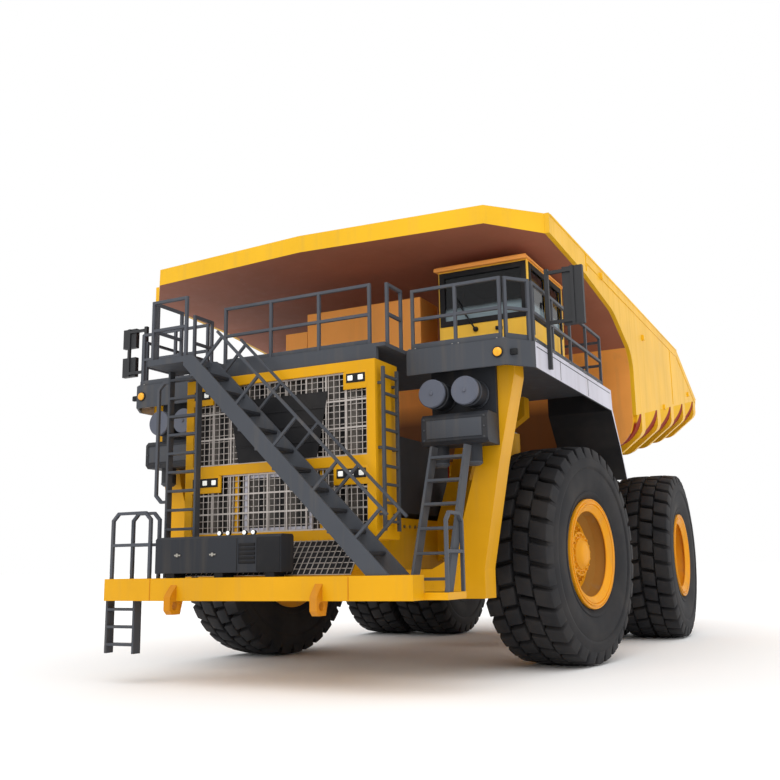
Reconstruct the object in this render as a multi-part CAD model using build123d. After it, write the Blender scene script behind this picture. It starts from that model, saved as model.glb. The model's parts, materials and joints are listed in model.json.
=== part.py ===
"""Rigid-frame mining dump truck, empty, body down, front wheels turned a little as it stands."""

import math
import os

from build123d import *

# Layout: the front faces -Y, the driver's side is +X, the ground is Z = 0.
WHEELBASE = 6600
FRONT_OVERHANG = 5500
REAR_OVERHANG = 4700
FRONT_AXLE_Y = (FRONT_OVERHANG - WHEELBASE - REAR_OVERHANG) / 2
REAR_AXLE_Y = FRONT_AXLE_Y + WHEELBASE
TAIL_Y = REAR_AXLE_Y + REAR_OVERHANG

# Clearances.
RUN_GAP = 0.3
SIDE_GAP = 10
PANEL_GAP = 10
GLASS_GAP = 0.3

# Tyres and wheels.
TYRE_RADIUS = 1920
TYRE_WIDTH = 1350
LUGS = 32
LUG_HEIGHT = 95
LUG_SHARE = 0.62
TREAD_EDGE = 70
TREAD_GROOVE = 60
BULGE_RADIUS = 1380
RIM_SEAT = 880
RIM_FLANGE = 960
RIM_WALL = 80
RIM_LIP = 110
FLANGE_WIDTH = 45
RIM_SET = 60
RIM_HALF = TYRE_WIDTH / 2 - RIM_SET
FRONT_TRACK = 6490
DUAL_GAP = 120
AXLE_Z = TYRE_RADIUS
FRONT_SPINDLE = 240
FRONT_HUB = 430
FRONT_HUB_BACK = 350
FRONT_DISC = 230
FRONT_CAP = 150
REAR_SPINDLE = 400
REAR_HUB = 620
REAR_HUB_BACK = 150
REAR_DISC = 250
REAR_CAP = 200
DISC_THICK = 100

# Steering.
STEER_REST = -8.43
KINGPIN_X = 2250
KNUCKLE_RADIUS = 300
KNUCKLE_TOP = AXLE_Z + 560
STRUT_ROD = 190
STRUT_BARREL = 235
STRUT_ENGAGE = 600
STRUT_HEIGHT = 1700
ARM_LENGTH = 750
ARM_Z = AXLE_Z - 500
ARM_THICK = 100
TIE_PIN = 60
TIE_EYE = 110
TIE_BAR = 62
TIE_THICK = 130
TIE_Z = ARM_Z - SIDE_GAP - TIE_THICK / 2

# Frame.
RAIL_IN = 460
RAIL_OUT = 840
RAIL_WIDTH = RAIL_OUT - RAIL_IN
RAIL_KICK = 3300
REAR_CLEAR = 590
RAIL_BOTTOM = 1700
RAIL_TOP = 2600
AXLE_PAD = AXLE_Z + 580
REAR_STRUT = 400
REAR_STRUT_RADIUS = 170
AXLE_DRUM = 680
AXLE_TUBE = 480
NOSE_REACH = 2500
NOSE_RADIUS = 300
RAIL_REAR_BOTTOM = AXLE_PAD + REAR_STRUT
RAIL_REAR_TOP = RAIL_REAR_BOTTOM + 800
RAIL_END_Y = REAR_AXLE_Y + 1750
UPRIGHT_FRONT = 3300
UPRIGHT_BACK = 2850
UPRIGHT_IN = 2100
UPRIGHT_FOOT = 2980
UPRIGHT_LEAN = 600
UPRIGHT_WIDE = 380
UPRIGHT_WAIST = 3300
FOOT_BOTTOM = 1250
BRACKET_Y = 850
BRACKET_THICK = 300
CROSS_TUBE = 260
CROSS_TUBE_Y = 2200

# Bumper and tow eyes.
TOW_REACH = 150
BUMPER_FRONT = FRONT_OVERHANG - TOW_REACH
BUMPER_DEPTH = 400
BUMPER_BACK = BUMPER_FRONT - BUMPER_DEPTH
BUMPER_SWEEP = 40
BUMPER_HALF = 2730
BUMPER_KINK = 1760
BUMPER_BOTTOM = 1290
BUMPER_TOP = 1630
TOW_X = 1290
TOW_THICK = 120
TOW_HOLE = 65
TOW_HOLE_SET = 120
TOW_HOLE_Z = BUMPER_BOTTOM - 70
TOW_BOTTOM = 1090
STEP_IN = 2380
STEP_OUT = 3080
STEP_BACK = 4300
STEP_THICK = 100

# Radiator.
RAD_SET = 970
RAD_FRONT = FRONT_OVERHANG - RAD_SET
RAD_DEPTH = 750
RAD_BACK = RAD_FRONT - RAD_DEPTH
RAD_HALF = 1790
RAD_TOP = 4870
RAD_BOTTOM = 2150
RAD_POST = 150
RAD_MID = 3330
RAD_BEAM = 160
GRILLE_SET = 40
GRILLE_THICK = 30
GRILLE_BAR = 26
GRILLE_COLUMNS = 9
GRILLE_ROWS = 3
CORE_SET = 160
CORE_FRONT = RAD_FRONT - CORE_SET
ENGINE_BACK = 400
ENGINE_TOP = RAD_TOP - 800
LAMP = 130
LAMP_PITCH = 180
LAMP_PANEL = 220
LAMP_PANEL_THICK = 38
LAMP_RECESS = 8
MARKER_RADIUS = 85
MARKER_DEEP = 60

# Decks.
DECK_TOP = 5120
DECK_PLATE = 60
DECK_BOTTOM = DECK_TOP - DECK_PLATE
DECK_SKIRT = 410
DECK_IN = 1950
DECK_OUT = 3940
DECK_FRONT = 3750
DECK_BACK = 1400
DECK_CUT_X = 320
DECK_CUT_Y = 450
SKIRT = 40
MID_SET = 50
MID_FRONT = RAD_FRONT - MID_SET
MID_BACK = 1000
MID_SKIRT = 80
RAIL_BAR = 48
RAILING = 1000
RAILING_INSET = 60

# Cab and cabinet.
CAB_IN = 2000
CAB_OUT = 3600
CAB_FRONT = 2500
CAB_BACK = 500
CAB_ROOF = 6820
CAB_WALL = 70
CAB_FLOOR = 80
SILL = 5850
HEADER = 6640
PILLAR = 100
REAR_PILLAR = 200
VISOR = 120
EAVE = 40
DOOR_FRONT = 1260
DOOR_BACK = 590
DOOR_GAP = 6
DOOR_TOP = 6600
DOOR_FRAME = 110
HINGE_PIN = 20
HINGE_KNUCKLE = 34
HINGE_OUT = 36
HINGE_LEAF = 130
HINGE_HIGH = 90
HINGE_SET = 250
GLASS = 20
GLASS_SET = 20
SEAT_X = 2950
SEAT_Y = 1250
SEAT_HIGH = 320
SEAT_CUSHION = 140
SEAT_HALF = 280
SEAT_BACK = 690
SEAT_LEAN = 120
DASH_DEEP = 330
DASH_HIGH = 680
WHEEL_RADIUS = 230
WHEEL_GRIP = 40
CABINET_LEFT = 1500
CABINET_RIGHT = 1350
CABINET_SPLIT = 870
CABINET_FRONT = 2200
CABINET_BACK = 1450
CABINET_TOP = 6480
CABINET_STEP = 330

# Dump body.
BODY_HALF = 4100
BODY_WALL = 80
BODY_TOP = 7370
FLOOR_THICK = 90
HAUNCH = 700
FLOOR_HALF = BODY_HALF - HAUNCH
FLOOR_SLOPE = 0.19
FLOOR_Z0 = 3560
WALL_Y = 2930
WALL_BEND_Z = 6100
WALL_STEP_Y = 1400
WALL_STEP_Z = 6720
BEND_RADIUS = 600
STEP_RADIUS = 1800
CANOPY_JOIN = 600
CANOPY_JOIN_Z = 6930
CANOPY_LIP_Z = 7060
CANOPY_EDGE = 3600
CANOPY_POINT = 3850
CANOPY_CORNER_X = 3280
CANOPY_CORNER_Y = 2770
TAIL_SHOULDER = 2800
TAIL_TOP_Z = 6430
PIVOT_Y = REAR_AXLE_Y + 1450
PIVOT_Z = RAIL_REAR_TOP + 250
PIVOT_PIN = 110
PIN_END = 60
EAR_RADIUS = 220
WEB_THICK = 110
WEB_BOTTOM = RAIL_REAR_TOP + 65
WEB_SET = 250
TAIL_SET = 120
BOLSTER = 380
BOLSTER_DEPTH = 300
BOLSTERS = 5
BOLSTER_SET = 500
RIB_DROP = 260

# Hoists.
HOIST_X = RAIL_OUT + 350
HOIST_BASE_Y = PIVOT_Y - 3450
HOIST_BASE_Z = PIVOT_Z - 2150
HOIST_HEAD_Y = PIVOT_Y - 3650
HOIST_HEAD_Z = PIVOT_Z + 230
HOIST_PIN = 80
HOIST_EYE = 150
HOIST_HALF = 105
HOIST_BOSS = 260
HOIST_COLLAR = 330
HOIST_STEP = 40
HOIST_EAR = 60
BARREL_RADIUS = 165
STAGE_RADIUS = 130
ROD_RADIUS = 95

# Stair, ladders and equipment box.
STAIR_SET = 50
STAIR_FRONT = BUMPER_FRONT - STAIR_SET
STAIR_CLEAR = 110
STAIR_BACK = RAD_FRONT + STAIR_CLEAR
LANDING_OUT = -2000
LANDING_IN = -1200
LANDING_THICK = 100
STAIR_FOOT_X = 2250
STEPS = 11
STRINGER = 40
STRINGER_DEPTH = 240
TREAD = 290
TREAD_THICK = 40
STAIR_RAIL = 560
STAIR_STRUTS = 5
LADDER_STILE = 40
RUNG = 40
UPRIGHT_LADDER = 620
UPRIGHT_STILE = 120
SIDE_LADDER_IN = 2440
SIDE_LADDER_OUT = 3030
SIDE_LADDER_FOOT = 4750
SIDE_LADDER_HEAD = 3900
SIDE_LADDER_TOP = 3520
SIDE_STILE = 220
LOW_LADDER_IN = -2160
LOW_LADDER_OUT = -2760
LOW_LADDER_FOOT = 480
LOW_LADDER_SET = 200
LOW_STILE = 160
HOOP_TOP = 2680
HOOP_BEND = 110
HOOP_IN = -1860
HOOP_STAGGER = 230
GRAB_REACH = 240
GRAB_LOW = 2850
GRAB_HIGH = 4850
FRAME_LADDER_SET = 90
FRAME_LADDER_RUNGS = 9
STEP_HOOP_TOP = 2500
BOX_RIGHT = -1710
BOX_LEFT = 620
BOX_DEEP = 340
BOX_HIGH = 550
BOX_FOOT = 70
BOX_FOOT_WIDE = 160
BOX_VENT = 300
VENT_DEEP = 12

# Outer fittings.
CLEANER_IN = 2210
CLEANER_OUT = 3300
CLEANER_SET = 60
CLEANER_LOW = 3560
CLEANER_HIGH = 480
CLEANER_Z = 4360
CLEANER_RADIUS = 215
CLEANER_CAP = 150
CLEANER_CUP = 130
CLEANER_PLATE = 80
FLAP_IN = KINGPIN_X + 400
FLAP = 40
FLAP_REACH = 1020
FLAP_DROP = 1680
MIRROR_POST = 64
MIRROR_BAR = 52
MIRROR_Y = 2650
MIRROR_Y_RIGHT = 3150
MIRROR_REACH = 620
MIRROR_WIDE = 330
MIRROR_HIGH = 960
MIRROR_THICK = 90
TANK_FRONT = 2700
TANK_BACK = 4100
TANK_TOP = 2550
TANK_ROUND = 160
FUEL_WIDE = 1800
FUEL_BOTTOM = 1150
OIL_WIDE = 1500
OIL_BOTTOM = 1250


def fore(d):
    """Y of a station this far ahead of the front axle."""
    return FRONT_AXLE_Y - d


def aft(d):
    """Y of a station this far behind the front axle."""
    return FRONT_AXLE_Y + d


def block(x0, x1, y0, y1, z0, z1):
    """Box between two corners."""
    centre = Pos((x0 + x1) / 2, (y0 + y1) / 2, (z0 + z1) / 2)
    return centre * Box(abs(x1 - x0), abs(y1 - y0), abs(z1 - z0))


def side_plate(points, x0, x1):
    """Plate with a side-view outline of (y, z) points."""
    face = make_face(Polyline(*points, close=True))
    return extrude(Plane.YZ.offset(x0) * face, amount=x1 - x0)


def front_plate(points, y0, y1, slope=0.0):
    """Plate with a front-view outline of (x, z) points, drawn at y0 and carried back to y1."""
    plane = Plane(origin=(0, y0, 0), x_dir=(1, 0, 0), z_dir=(0, -1, 0))
    face = plane * make_face(Polyline(*points, close=True))
    way = Vector(0, 1, slope)
    return extrude(face, amount=(y1 - y0) * way.length, dir=way.normalized())


def plan_plate(points, z0, z1):
    """Plate with an outline of (x, y) points seen from above."""
    face = make_face(Polyline(*points, close=True))
    return extrude(Pos(0, 0, z0) * face, amount=z1 - z0)


def rod(start, end, radius):
    """Round bar between two points."""
    start = Vector(*start)
    along = Vector(*end) - start
    plane = Plane(origin=start, z_dir=along)
    return plane * Cylinder(radius, along.length, align=(Align.CENTER, Align.CENTER, Align.MIN))


def bar(start, end, size):
    """Square tube between two points."""
    start = Vector(*start)
    along = Vector(*end) - start
    flat = Vector(0, 0, 1) if abs(along.Z) < 0.9 * along.length else Vector(0, 1, 0)
    plane = Plane(origin=start, x_dir=flat.cross(along), z_dir=along)
    return plane * Box(size, size, along.length, align=(Align.CENTER, Align.CENTER, Align.MIN))


def bent_bar(points, size):
    """Square tube through some points, mitred at each bend."""
    corners = [Vector(*point) for point in points]
    ways = [(b - a).normalized() for a, b in zip(corners, corners[1:])]
    turns = [math.radians(a.get_angle(b)) for a, b in zip(ways, ways[1:])]
    reach = [0] + [math.tan(turn / 2) * size / 2 for turn in turns] + [0]
    pieces = []
    for i, way in enumerate(ways):
        start = corners[i] - way * reach[i]
        stop = corners[i + 1] + way * reach[i + 1]
        pieces.append(bar(tuple(start), tuple(stop), size))
    return fuse(pieces)


def turned(points):
    """Solid of revolution about X from (x, radius) points."""
    face = Plane.XZ * make_face(Polyline(*points, close=True))
    return revolve(face, Axis.X)


def other_side(shape):
    """The same piece on the other side of the truck."""
    return mirror(shape, about=Plane.YZ)


def pair(shape):
    """A piece and its mirror, as separate solids."""
    return group([shape, other_side(shape)])


def group(shapes):
    """Separate solids kept under one name."""
    solids = []
    for shape in shapes:
        solids.extend(shape.solids())
    return Compound(solids)


def fuse(shapes):
    """Pieces joined into one."""
    first = shapes[0]
    return first.fuse(*shapes[1:]) if len(shapes) > 1 else first


def floor_z(y):
    """Underside of the load floor at a station."""
    return FLOOR_Z0 + FLOOR_SLOPE * (y - FRONT_AXLE_Y)


# Frame rails.
def frame_rail():
    front = fore(BUMPER_BACK)
    outline = [
        (front, BUMPER_BOTTOM),
        (front, BUMPER_TOP),
        (fore(RAD_FRONT), RAD_BOTTOM),
        (fore(RAD_BACK), RAD_BOTTOM),
        (fore(RAD_BACK), RAIL_TOP),
        (REAR_AXLE_Y - RAIL_KICK, RAIL_TOP),
        (REAR_AXLE_Y - TYRE_RADIUS, RAIL_REAR_TOP),
        (RAIL_END_Y, RAIL_REAR_TOP),
        (RAIL_END_Y, RAIL_REAR_BOTTOM),
        (REAR_AXLE_Y - RAIL_KICK / 2, RAIL_REAR_BOTTOM),
        (REAR_AXLE_Y - RAIL_KICK + RAIL_WIDTH, RAIL_BOTTOM),
        (fore(RAD_BACK), RAIL_BOTTOM),
        (fore(RAD_BACK + RAIL_WIDTH), BUMPER_BOTTOM),
    ]
    rail = side_plate(outline, RAIL_IN, RAIL_OUT)
    ear = block(RAIL_IN, RAIL_OUT, PIVOT_Y - EAR_RADIUS, PIVOT_Y + EAR_RADIUS, RAIL_REAR_TOP, PIVOT_Z)
    crown = rod((RAIL_IN, PIVOT_Y, PIVOT_Z), (RAIL_OUT, PIVOT_Y, PIVOT_Z), EAR_RADIUS)
    boss = block(
        RAIL_IN,
        RAIL_OUT,
        HOIST_BASE_Y - HOIST_BOSS,
        HOIST_BASE_Y + HOIST_BOSS,
        HOIST_BASE_Z - HOIST_BOSS,
        RAIL_REAR_BOTTOM - HOIST_BOSS / 2,
    )
    base_end = HOIST_X + HOIST_HALF + HOIST_EAR
    base = rod((RAIL_OUT, HOIST_BASE_Y, HOIST_BASE_Z), (base_end, HOIST_BASE_Y, HOIST_BASE_Z), HOIST_PIN)
    hole = rod((RAIL_IN, PIVOT_Y, PIVOT_Z), (RAIL_OUT, PIVOT_Y, PIVOT_Z), PIVOT_PIN)
    return fuse([rail, ear, crown, boss, base]) - hole


def cross_members():
    beam = block(
        -UPRIGHT_IN, UPRIGHT_IN, fore(UPRIGHT_FRONT), fore(UPRIGHT_BACK), FOOT_BOTTOM, RAIL_BOTTOM
    )
    mid_y = aft(CROSS_TUBE_Y)
    mid_z = (RAIL_BOTTOM + RAIL_TOP) / 2
    middle = rod((-RAIL_IN, mid_y, mid_z), (RAIL_IN, mid_y, mid_z), CROSS_TUBE)
    rear_z = (RAIL_REAR_BOTTOM + RAIL_REAR_TOP) / 2
    rear_y = PIVOT_Y - 2 * CROSS_TUBE
    rear = rod((-RAIL_IN, rear_y, rear_z), (RAIL_IN, rear_y, rear_z), CROSS_TUBE)
    return group([beam, middle, rear])


def pivot_pin():
    reach = RAIL_OUT + SIDE_GAP + WEB_THICK + PIN_END
    inner = RAIL_IN - SIDE_GAP - WEB_THICK - PIN_END
    return rod((inner, PIVOT_Y, PIVOT_Z), (reach, PIVOT_Y, PIVOT_Z), PIVOT_PIN)


# Uprights that carry the decks at the front, and brackets behind the front wheels.
def deck_supports():
    upright = front_plate(
        [
            (UPRIGHT_IN, FOOT_BOTTOM),
            (UPRIGHT_FOOT, FOOT_BOTTOM),
            (UPRIGHT_FOOT, RAIL_BOTTOM),
            (UPRIGHT_FOOT + UPRIGHT_LEAN / 2, UPRIGHT_WAIST),
            (UPRIGHT_FOOT + UPRIGHT_LEAN, DECK_BOTTOM - DECK_SKIRT),
            (UPRIGHT_FOOT + UPRIGHT_LEAN, DECK_BOTTOM),
            (UPRIGHT_FOOT + UPRIGHT_LEAN - UPRIGHT_WIDE, DECK_BOTTOM),
            (UPRIGHT_FOOT + UPRIGHT_LEAN / 2 - UPRIGHT_WIDE, UPRIGHT_WAIST),
            (UPRIGHT_IN + UPRIGHT_WIDE, RAIL_BOTTOM + UPRIGHT_WIDE / 2),
            (UPRIGHT_IN, RAIL_BOTTOM),
        ],
        fore(UPRIGHT_FRONT),
        fore(UPRIGHT_BACK),
    )
    top_out = DECK_IN + UPRIGHT_WIDE
    bracket = front_plate(
        [
            (RAIL_IN, RAIL_TOP),
            (RAIL_OUT, RAIL_TOP),
            (RAIL_OUT + UPRIGHT_WIDE, DECK_BOTTOM - 3 * UPRIGHT_WIDE),
            (top_out, DECK_BOTTOM - UPRIGHT_WIDE),
            (top_out, DECK_BOTTOM),
            (DECK_IN + DECK_PLATE, DECK_BOTTOM),
            (RAIL_OUT, DECK_BOTTOM - 2 * UPRIGHT_WIDE),
        ],
        aft(BRACKET_Y),
        aft(BRACKET_Y + BRACKET_THICK),
    )
    return group([upright, other_side(upright), bracket, other_side(bracket)])


def front_bumper():
    ends = fore(BUMPER_FRONT - BUMPER_SWEEP)
    beam = plan_plate(
        [
            (-BUMPER_KINK, fore(BUMPER_FRONT)),
            (BUMPER_KINK, fore(BUMPER_FRONT)),
            (BUMPER_HALF, ends),
            (BUMPER_HALF, fore(BUMPER_BACK)),
            (-BUMPER_HALF, fore(BUMPER_BACK)),
            (-BUMPER_HALF, ends),
        ],
        BUMPER_BOTTOM,
        BUMPER_TOP,
    )
    step_top = BUMPER_BOTTOM + STEP_THICK
    step = block(STEP_IN, STEP_OUT, fore(BUMPER_BACK), fore(STEP_BACK), BUMPER_BOTTOM, step_top)
    toe = fore(FRONT_OVERHANG)
    hook = side_plate(
        [
            (toe + 2 * TOW_REACH, BUMPER_BOTTOM),
            (toe + TOW_REACH, BUMPER_BOTTOM + 2 * TOW_THICK),
            (toe + TOW_HOLE_SET / 3, BUMPER_BOTTOM + TOW_THICK),
            (toe, BUMPER_BOTTOM + TOW_THICK / 2),
            (toe, TOW_BOTTOM + TOW_HOLE),
            (toe + TOW_HOLE, TOW_BOTTOM),
            (toe + 2 * TOW_HOLE_SET, TOW_BOTTOM),
        ],
        TOW_X - TOW_THICK / 2,
        TOW_X + TOW_THICK / 2,
    )
    hole_y = toe + TOW_HOLE_SET
    hole = rod((TOW_X - TOW_THICK, hole_y, TOW_HOLE_Z), (TOW_X + TOW_THICK, hole_y, TOW_HOLE_Z), TOW_HOLE)
    hook = hook - hole
    return fuse([beam, step, hook, other_side(hook)])


# Radiator group.
def radiator_windows():
    """Heights of the lower and upper windows in the radiator frame."""
    low = (RAD_BOTTOM + RAD_BEAM, RAD_MID - RAD_BEAM / 2)
    high = (RAD_MID + RAD_BEAM / 2, RAD_TOP - RAD_BEAM)
    return [low, high]


def lamp_places():
    """Lamp centres in the panels under the middle and top beams."""
    first = RAD_HALF - RAD_POST - LAMP_PITCH / 2
    places = []
    for (low, high), count in zip(radiator_windows(), (3, 2)):
        for i in range(count):
            places.append((first - i * LAMP_PITCH, high - LAMP_PANEL / 2))
    return places


def radiator_surround():
    inside = RAD_HALF - RAD_POST
    front = fore(RAD_FRONT)
    frame = block(-RAD_HALF, RAD_HALF, front, fore(RAD_BACK), RAD_BOTTOM, RAD_TOP)
    for low, high in radiator_windows():
        frame = frame - block(-inside, inside, front, fore(RAD_BACK), low, high)
    frame = frame - block(-inside, inside, fore(CORE_FRONT), fore(RAD_BACK), *core_heights())
    panels = []
    for (low, high), count in zip(radiator_windows(), (3, 2)):
        inner = inside - count * LAMP_PITCH
        panel = block(inner, inside, front, front + LAMP_PANEL_THICK, high - LAMP_PANEL, high)
        panels += [panel, other_side(panel)]
    frame = fuse([frame] + panels)
    for x, z in lamp_places():
        hole = lamp_block(x, z, LAMP / 2 + GLASS_GAP, 0)
        frame = frame - hole - other_side(hole)
    return frame


def lamp_block(x, z, half, recess):
    y0 = fore(RAD_FRONT) + recess
    return block(x - half, x + half, y0, fore(RAD_FRONT) + LAMP_PANEL_THICK, z - half, z + half)


def lamps():
    pieces = [lamp_block(x, z, LAMP / 2, LAMP_RECESS) for x, z in lamp_places()]
    x = DECK_OUT - DECK_CUT_X - LAMP
    z = DECK_TOP - DECK_SKIRT / 2
    pieces.append(rod((x, fore(DECK_FRONT), z), (x, fore(DECK_FRONT + MARKER_DEEP), z), MARKER_RADIUS))
    return group(pieces + [other_side(p) for p in pieces])


def core_heights():
    return RAD_BOTTOM + RAD_BEAM, RAD_TOP - RAD_BEAM


def radiator_core():
    inside = RAD_HALF - RAD_POST
    return block(-inside, inside, fore(CORE_FRONT), fore(RAD_BACK), *core_heights())


def lattice(half, z0, z1, columns, rows):
    """Screen with a grid of square openings, as wide as two halves and between two heights."""
    y0 = fore(RAD_FRONT - GRILLE_SET)
    y1 = y0 + GRILLE_THICK
    screen = block(-half, half, y0, y1, z0, z1)
    wide = (2 * half - GRILLE_BAR) / columns
    high = (z1 - z0 - GRILLE_BAR) / rows
    holes = []
    for i in range(columns):
        x = -half + GRILLE_BAR + i * wide
        for j in range(rows):
            z = z0 + GRILLE_BAR + j * high
            holes.append(block(x, x + wide - GRILLE_BAR, y0, y1, z, z + high - GRILLE_BAR))
    return screen.cut(*holes)


def grille_screens():
    inside = RAD_HALF - RAD_POST
    screens = [lattice(inside, z0, z1, GRILLE_COLUMNS, GRILLE_ROWS) for z0, z1 in radiator_windows()]
    screens.append(lattice(RAIL_IN, RAIL_BOTTOM, RAD_BOTTOM, GRILLE_ROWS, GRILLE_ROWS - 1))
    return group(screens)


def engine():
    low = RAIL_IN
    high = RAIL_OUT - SIDE_GAP * 2
    outline = [
        (-low, RAIL_BOTTOM + CROSS_TUBE / 2),
        (low, RAIL_BOTTOM + CROSS_TUBE / 2),
        (low, RAIL_TOP),
        (high, RAIL_TOP + SIDE_GAP * 10),
        (high, ENGINE_TOP),
        (-high, ENGINE_TOP),
        (-high, RAIL_TOP + SIDE_GAP * 10),
        (-low, RAIL_TOP),
    ]
    return front_plate(outline, fore(RAD_BACK), aft(ENGINE_BACK))


# Access: stair, ladders, equipment box.
def stair_x(z):
    """Place of the stair's nosing line at a height."""
    run = STAIR_FOOT_X - LANDING_IN
    return LANDING_IN + run * (DECK_TOP - z) / (DECK_TOP - BUMPER_TOP)


def main_stair():
    under = DECK_TOP - LANDING_THICK
    landing = block(LANDING_OUT, LANDING_IN, fore(STAIR_FRONT), fore(MID_FRONT), under, DECK_TOP)
    half = STRINGER_DEPTH / 2
    slant = [
        (LANDING_IN - half / 2, under),
        (LANDING_IN, DECK_TOP),
        (LANDING_IN + half, DECK_TOP),
        (STAIR_FOOT_X + half, BUMPER_TOP),
        (STAIR_FOOT_X - 2 * half, BUMPER_TOP),
        (LANDING_IN - half / 2, under - half / 2),
    ]
    near = front_plate(slant, fore(STAIR_FRONT), fore(STAIR_FRONT - STRINGER))
    far = front_plate(slant, fore(STAIR_BACK + STRINGER), fore(STAIR_BACK))
    pieces = [landing, near, far]
    for i in range(1, STEPS):
        z = DECK_TOP - i * (DECK_TOP - BUMPER_TOP) / STEPS
        x = stair_x(z) + half / 2
        pieces.append(block(x - TREAD, x, fore(STAIR_FRONT), fore(STAIR_BACK), z - TREAD_THICK, z))
    pieces += stair_rail(fore(STAIR_FRONT - STRINGER / 2))
    pieces += stair_rail(fore(STAIR_BACK + STRINGER / 2))
    return fuse(pieces)


def stair_rail(y):
    """Sloping handrail on struts that stand square to the stringer."""
    slope = Vector(STAIR_FOOT_X - LANDING_IN, BUMPER_TOP - DECK_TOP)
    down = slope.normalized()
    out = Vector(-down.Y, down.X)
    first = Vector(LANDING_IN + STRINGER_DEPTH / 2, DECK_TOP)
    pieces = []
    tops = []
    for i in range(STAIR_STRUTS):
        foot = first + down * (slope.length * (i + 0.25) / STAIR_STRUTS)
        head = foot + out * STAIR_RAIL
        sunk = foot - out * STRINGER_DEPTH / 4
        pieces.append(bar((sunk.X, y, sunk.Y), (head.X, y, head.Y), STRINGER))
        tops.append(head)
    start = tops[0] - down * STAIR_RAIL / 4
    stop = tops[-1] + down * STAIR_RAIL / 4
    pieces.append(bar((start.X, y, start.Y), (stop.X, y, stop.Y), STRINGER))
    return pieces


def ladder(x0, x1, low, high, stile, rungs):
    """Ladder between two (y, z) ends, with flat stiles and treads."""
    lean = Vector(high[0] - low[0], high[1] - low[1])
    half = stile / 2
    outline = [
        (low[0] - half, low[1]),
        (low[0] + half, low[1]),
        (high[0] + half, high[1]),
        (high[0] - half, high[1]),
    ]
    pieces = [side_plate(outline, x0, x0 + LADDER_STILE), side_plate(outline, x1 - LADDER_STILE, x1)]
    for i in range(rungs):
        share = (i + 0.5) / rungs
        y = low[0] + lean.X * share
        z = low[1] + lean.Y * share
        pieces.append(block(x0, x1, y - half, y + half, z - RUNG / 2, z + RUNG / 2))
    return fuse(pieces)


def ladders():
    upright_y = fore(STAIR_BACK + UPRIGHT_STILE)
    outer = LANDING_OUT + LADDER_STILE
    ends = (upright_y, BUMPER_TOP), (upright_y, DECK_TOP - LANDING_THICK)
    right = ladder(outer, outer + UPRIGHT_LADDER, *ends, UPRIGHT_STILE, STEPS)
    foot = (fore(SIDE_LADDER_FOOT), BUMPER_BOTTOM + STEP_THICK)
    head = (fore(SIDE_LADDER_HEAD), SIDE_LADDER_TOP)
    left = ladder(SIDE_LADDER_IN, SIDE_LADDER_OUT, foot, head, SIDE_STILE, 6)
    low_y = fore(BUMPER_FRONT - LOW_LADDER_SET)
    ends = (low_y, LOW_LADDER_FOOT), (low_y, BUMPER_BOTTOM)
    low = ladder(LOW_LADDER_OUT, LOW_LADDER_IN, *ends, LOW_STILE, 3)
    return group([right, left, low, frame_ladder()])


def frame_ladder():
    """Ladder up the cab side of the radiator frame, held off it by brackets."""
    x = RAD_HALF + FRAME_LADDER_SET
    front = fore(RAD_FRONT - 2 * RAIL_BAR)
    back = fore(RAD_BACK + 4 * RAIL_BAR)
    low = RAD_BOTTOM + UPRIGHT_STILE
    high = RAD_TOP - UPRIGHT_STILE
    pieces = []
    for y in (front, back):
        pieces.append(bar((x, y, low), (x, y, high), RAIL_BAR))
        for share in (0.1, 0.5, 0.9):
            z = low + (high - low) * share
            pieces.append(bar((RAD_HALF, y, z), (x, y, z), RUNG))
    for i in range(FRAME_LADDER_RUNGS):
        z = low + (high - low) * (i + 0.5) / FRAME_LADDER_RUNGS
        pieces.append(bar((x, front, z), (x, back, z), RUNG))
    return fuse(pieces)


def equipment_box():
    front = fore(STAIR_FRONT)
    low = BUMPER_TOP + BOX_FOOT
    body = block(BOX_RIGHT, BOX_LEFT, front, front + BOX_DEEP, low, low + BOX_HIGH)
    body = chamfer(body.edges().filter_by(Axis.X).group_by(Axis.Z)[-1], BOX_FOOT / 2)
    vent_x = BOX_LEFT - 2.5 * BOX_VENT
    vent_z = low + (BOX_HIGH - BOX_VENT) / 2
    body = body - block(vent_x, vent_x + BOX_VENT, front, front + VENT_DEEP, vent_z, vent_z + BOX_VENT)
    feet = []
    for i in range(3):
        x = BOX_RIGHT + BOX_FOOT_WIDE + i * (BOX_LEFT - BOX_RIGHT - 3 * BOX_FOOT_WIDE) / 2
        feet.append(block(x, x + BOX_FOOT_WIDE, front + BOX_FOOT, front + BOX_DEEP, BUMPER_TOP, low))
    return fuse([body] + feet)


# Decks and railings.
def side_deck():
    front = fore(DECK_FRONT)
    back = aft(DECK_BACK)
    cut_x = DECK_OUT - DECK_CUT_X
    cut_y = front + DECK_CUT_Y
    outer = [(DECK_IN, front), (cut_x, front), (DECK_OUT, cut_y), (DECK_OUT, back), (DECK_IN, back)]
    slab = plan_plate(outer, DECK_TOP - DECK_SKIRT, DECK_TOP)
    shift = SKIRT * math.tan(math.atan2(DECK_CUT_X, DECK_CUT_Y) / 2)
    inner = [
        (DECK_IN - 1, front + SKIRT),
        (cut_x - shift * 1.6, front + SKIRT),
        (DECK_OUT - SKIRT, cut_y + shift * 0.6),
        (DECK_OUT - SKIRT, back + 1),
        (DECK_IN - 1, back + 1),
    ]
    return slab - plan_plate(inner, DECK_TOP - DECK_SKIRT - 1, DECK_BOTTOM)


def mid_deck():
    edge = DECK_IN - PANEL_GAP
    plate = block(-edge, edge, fore(MID_FRONT), fore(MID_BACK), DECK_BOTTOM, DECK_TOP)
    skirt = block(-RAD_HALF, RAD_HALF, fore(MID_FRONT), fore(MID_FRONT - MID_SKIRT), RAD_TOP, DECK_BOTTOM)
    return fuse([plate, skirt])


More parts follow.
